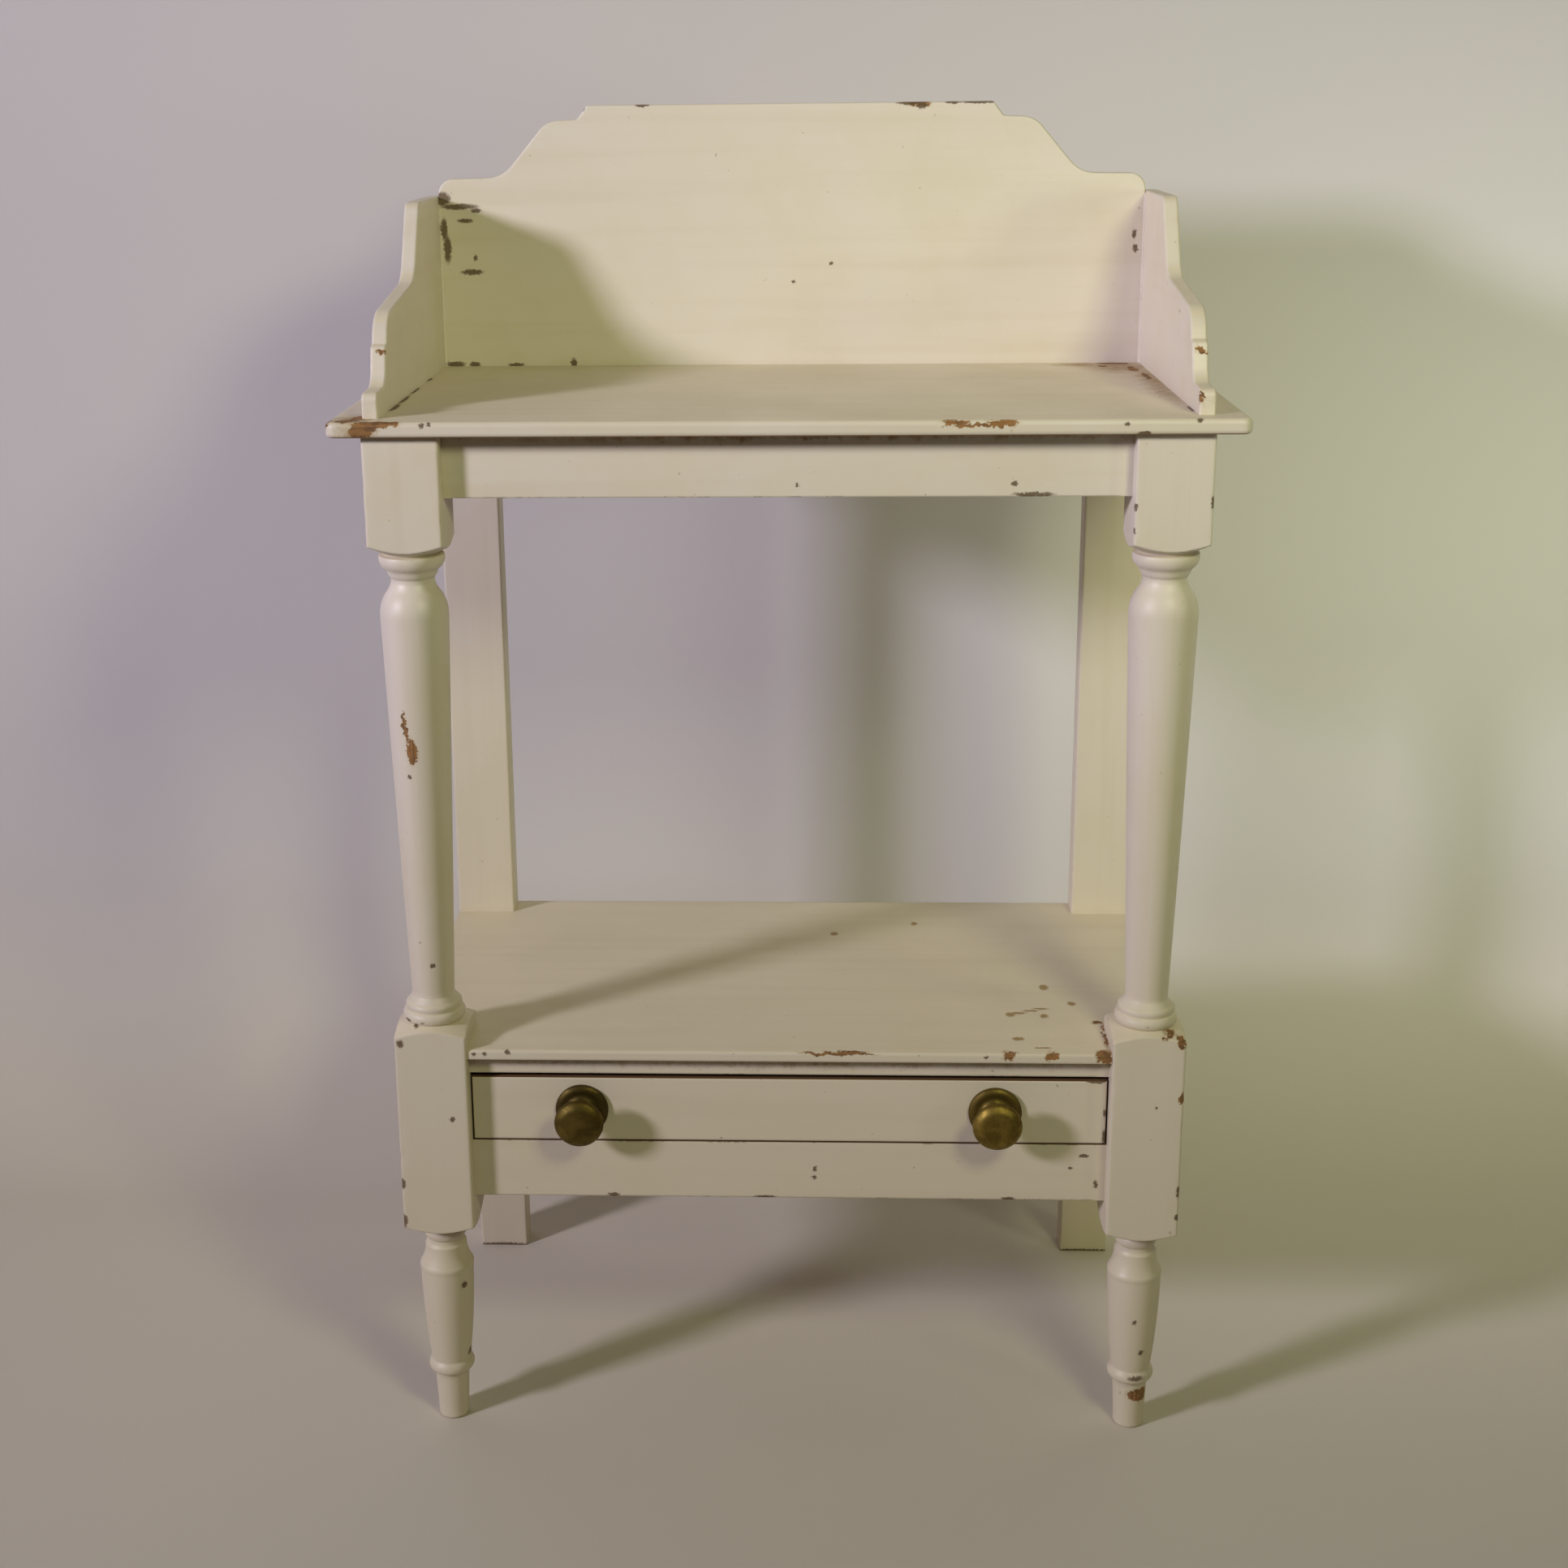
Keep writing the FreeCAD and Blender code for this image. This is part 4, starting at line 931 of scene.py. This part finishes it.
# %% Fill the corners with paint
HOLLOW, BURIED, BEHIND, BELOW_EDGE, ARC_STEPS = 1.75 * MM, 0.05 * MM, 1.6 * MM, 2 * MM, 8


def bead_plan(side, corner_x, corner_y):
    turns = [radians(90) * k / ARC_STEPS for k in range(ARC_STEPS + 1)]
    plan = [(corner_x - side * HOLLOW * (1 - sin(a)), corner_y - HOLLOW * (1 - cos(a))) for a in turns]
    plan.append((corner_x + side * BURIED, corner_y + BEHIND))
    return plan if side > 0 else plan[::-1]


def fill_corners():
    board_low, board_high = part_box("splashback")
    levels = (board_low.z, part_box("side_gallery_left")[1].z - BELOW_EDGE)
    points, faces = [], []
    for side in (-1, 1):
        plan = bead_plan(side, side * (board_high.x + BURIED), board_low.y + BURIED)
        first, count = len(points), len(plan)
        points += [(x, y, z) for z in levels for x, y in plan]
        low_ring = [first + k for k in range(count)]
        high_ring = [first + count + k for k in range(count)]
        faces += [(low_ring[k - 1], low_ring[k], high_ring[k], high_ring[k - 1]) for k in range(count)]
        faces += [low_ring[::-1], high_ring]
    mesh = bpy.data.meshes.new("paint_beads")
    mesh.from_pydata(points, [], faces)
    if enclosed(mesh) < 0:
        mesh.flip_normals()
    mesh.shade_smooth()
    mesh.set_sharp_from_angle(angle=radians(40))
    mesh.materials.append(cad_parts["splashback"].data.materials[0])
    beads = bpy.data.objects.new("paint_beads", mesh)
    bpy.context.scene.collection.objects.link(beads)
    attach(beads, "stand")
    return enclosed(mesh)


print("paint in the corners, volume cm3:", round(fill_corners() * 1e6, 3))

# %% [markdown]
# ## Floor, light and camera
# The stand is photographed on a pale seamless sweep: a sheet that runs flat under the feet and curves up
# behind, warmer on the floor and greyer up the wall. From behind it is clear, so that the back shows too.
# Low on the wall, above the bend, the sheet is paler: that band is painted light.

# %% Lay the sweep
NEAR_END, NEAR_STAND, FLAT_END, BEND, RISE, HALF_WIDE, BEND_STEPS = -4.5, -1.5, 0.20, 0.22, 3.2, 4.5, 24
FLOOR_TONES = (0.65, 0.605, 0.500, 1), (0.67, 0.617, 0.500, 1)
# The paler tone low on the wall is painted light.
LOW_WALL_PAINTED_LIGHT, UPPER_TONES = (0.655, 0.632, 0.610, 1), ((0.59, 0.567, 0.548, 1), (0.61, 0.586, 0.568, 1))


def seamless_sheet():
    finish, mix, shader = new_finish("seamless_sheet")
    place = mix.node("ShaderNodeTexCoord").outputs["Object"]
    tone = mix.noise(place, 2.2, 3.0)["Fac"]
    height = mix.node("ShaderNodeSeparateXYZ", {0: place}).outputs["Z"]
    sheet = mix.blend(tone, *FLOOR_TONES)
    # Painted light: the wall turns paler above the bend, then greyer higher up.
    sheet = mix.coat(sheet, LOW_WALL_PAINTED_LIGHT, height, 0.0, 0.30)
    sheet = mix.coat(sheet, mix.blend(tone, *UPPER_TONES), height, 0.45, 0.95)
    mix.feed(shader.inputs["Base Color"], sheet)
    shader.inputs["Roughness"].default_value = 0.8
    behind = mix.node("ShaderNodeNewGeometry").outputs["Backfacing"]
    clear = mix.first("ShaderNodeBsdfTransparent")
    both = mix.first("ShaderNodeMixShader", {0: behind, 1: shader.outputs[0], 2: clear})
    mix.feed(finish.node_tree.nodes["Material Output"].inputs["Surface"], both)
    return finish


def lay_sweep():
    turns = [radians(90) * k / BEND_STEPS for k in range(BEND_STEPS + 1)]
    line = [(NEAR_END, 0.0), (NEAR_STAND, 0.0)]
    line += [(FLAT_END + BEND * sin(a), BEND - BEND * cos(a)) for a in turns]
    line.append((FLAT_END + BEND, RISE))
    points = [(x, y, z) for y, z in line for x in (-HALF_WIDE, HALF_WIDE)]
    faces = [(2 * k, 2 * k + 1, 2 * k + 3, 2 * k + 2) for k in range(len(line) - 1)]
    mesh = bpy.data.meshes.new("sweep")
    mesh.from_pydata(points, [], faces)
    mesh.shade_smooth()
    mesh.materials.append(seamless_sheet())
    sweep = bpy.data.objects.new("sweep", mesh)
    bpy.context.scene.collection.objects.link(sweep)
    return sweep


print("sweep faces:", len(lay_sweep().data.polygons))

# %% [markdown]
# Two soft lamps light the stand: a cooler one far to the left and a warmer one near to the right, both
# higher than the stand, so that two sets of soft shadows cross. A weak third lamp only lifts the sheet at
# the right. The lamps keep the paint below white, and the room adds a faint warm fill.

# %% Set the lamps and the room
# Each lamp: its place, the point it looks at, watts, colour, size in metres and spread in degrees
lamps = {
    "left_lamp": ((-2.7, -1.9, 1.75), (0.0, 0.1, 1.05), 17.5, (1.0, 0.93, 1.17), 0.5, 85),
    "right_lamp": ((0.62, -1.25, 1.45), (0.0, 0.1, 1.0), 3.9, (1.0, 1.03, 0.62), 0.4, 120),
    "side_lamp": ((1.60, -1.00, 0.85), (0.70, 0.42, 0.56), 1.65, (1.0, 1.04, 0.80), 0.5, 55),
}
ROOM_COLOUR, ROOM_STRENGTH = (1.0, 0.87, 0.55, 1), 0.03


def soft_lamp(name, at, aim, power, colour, size, spread):
    light = bpy.data.lights.new(name, "AREA")
    light.shape, light.size, light.energy, light.color = "DISK", size, power, colour
    light.spread = radians(spread)
    lamp = bpy.data.objects.new(name, light)
    lamp.location = at
    lamp.rotation_euler = (Vector(aim) - Vector(at)).to_track_quat("-Z", "Y").to_euler()
    bpy.context.scene.collection.objects.link(lamp)


for name, settings in lamps.items():
    soft_lamp(name, *settings)
world = bpy.data.worlds.new("room")
world.use_nodes = True
background = world.node_tree.nodes["Background"].inputs
background["Color"].default_value = ROOM_COLOUR
background["Strength"].default_value = ROOM_STRENGTH
bpy.context.scene.world = world
bpy.context.scene.view_settings.view_transform = "Standard"

# %% [markdown]
# The camera stands where the picture was taken from: a little right of the middle, about as high as the
# splashback and looking down by some sixteen degrees. Its place was worked out from the stand's edges.

# %% Set the camera
YAW, PITCH_DOWN, ROLL = radians(-2.423157), radians(15.679426), radians(-0.631689)
STOOD_AT = (0.01958, -1.5838, 0.98247)
SENSOR, FOCAL, SHIFT = 36.0, 50.277, (0.03716, -0.05604)


def set_camera():
    forward = Vector((sin(YAW) * cos(PITCH_DOWN), cos(YAW) * cos(PITCH_DOWN), -sin(PITCH_DOWN)))
    right = Vector((cos(YAW), -sin(YAW), 0.0))
    up = right.cross(forward)
    right, up = right * cos(ROLL) + up * sin(ROLL), up * cos(ROLL) - right * sin(ROLL)
    lens = bpy.data.cameras.new("camera")
    lens.sensor_width, lens.lens = SENSOR, FOCAL
    lens.shift_x, lens.shift_y = SHIFT
    camera = bpy.data.objects.new("camera", lens)
    camera.matrix_world = Matrix((right, up, -forward)).transposed().to_4x4()
    camera.location = STOOD_AT
    bpy.context.scene.collection.objects.link(camera)
    bpy.context.scene.camera = camera
    return camera


print("camera at", [round(c, 3) for c in set_camera().location])
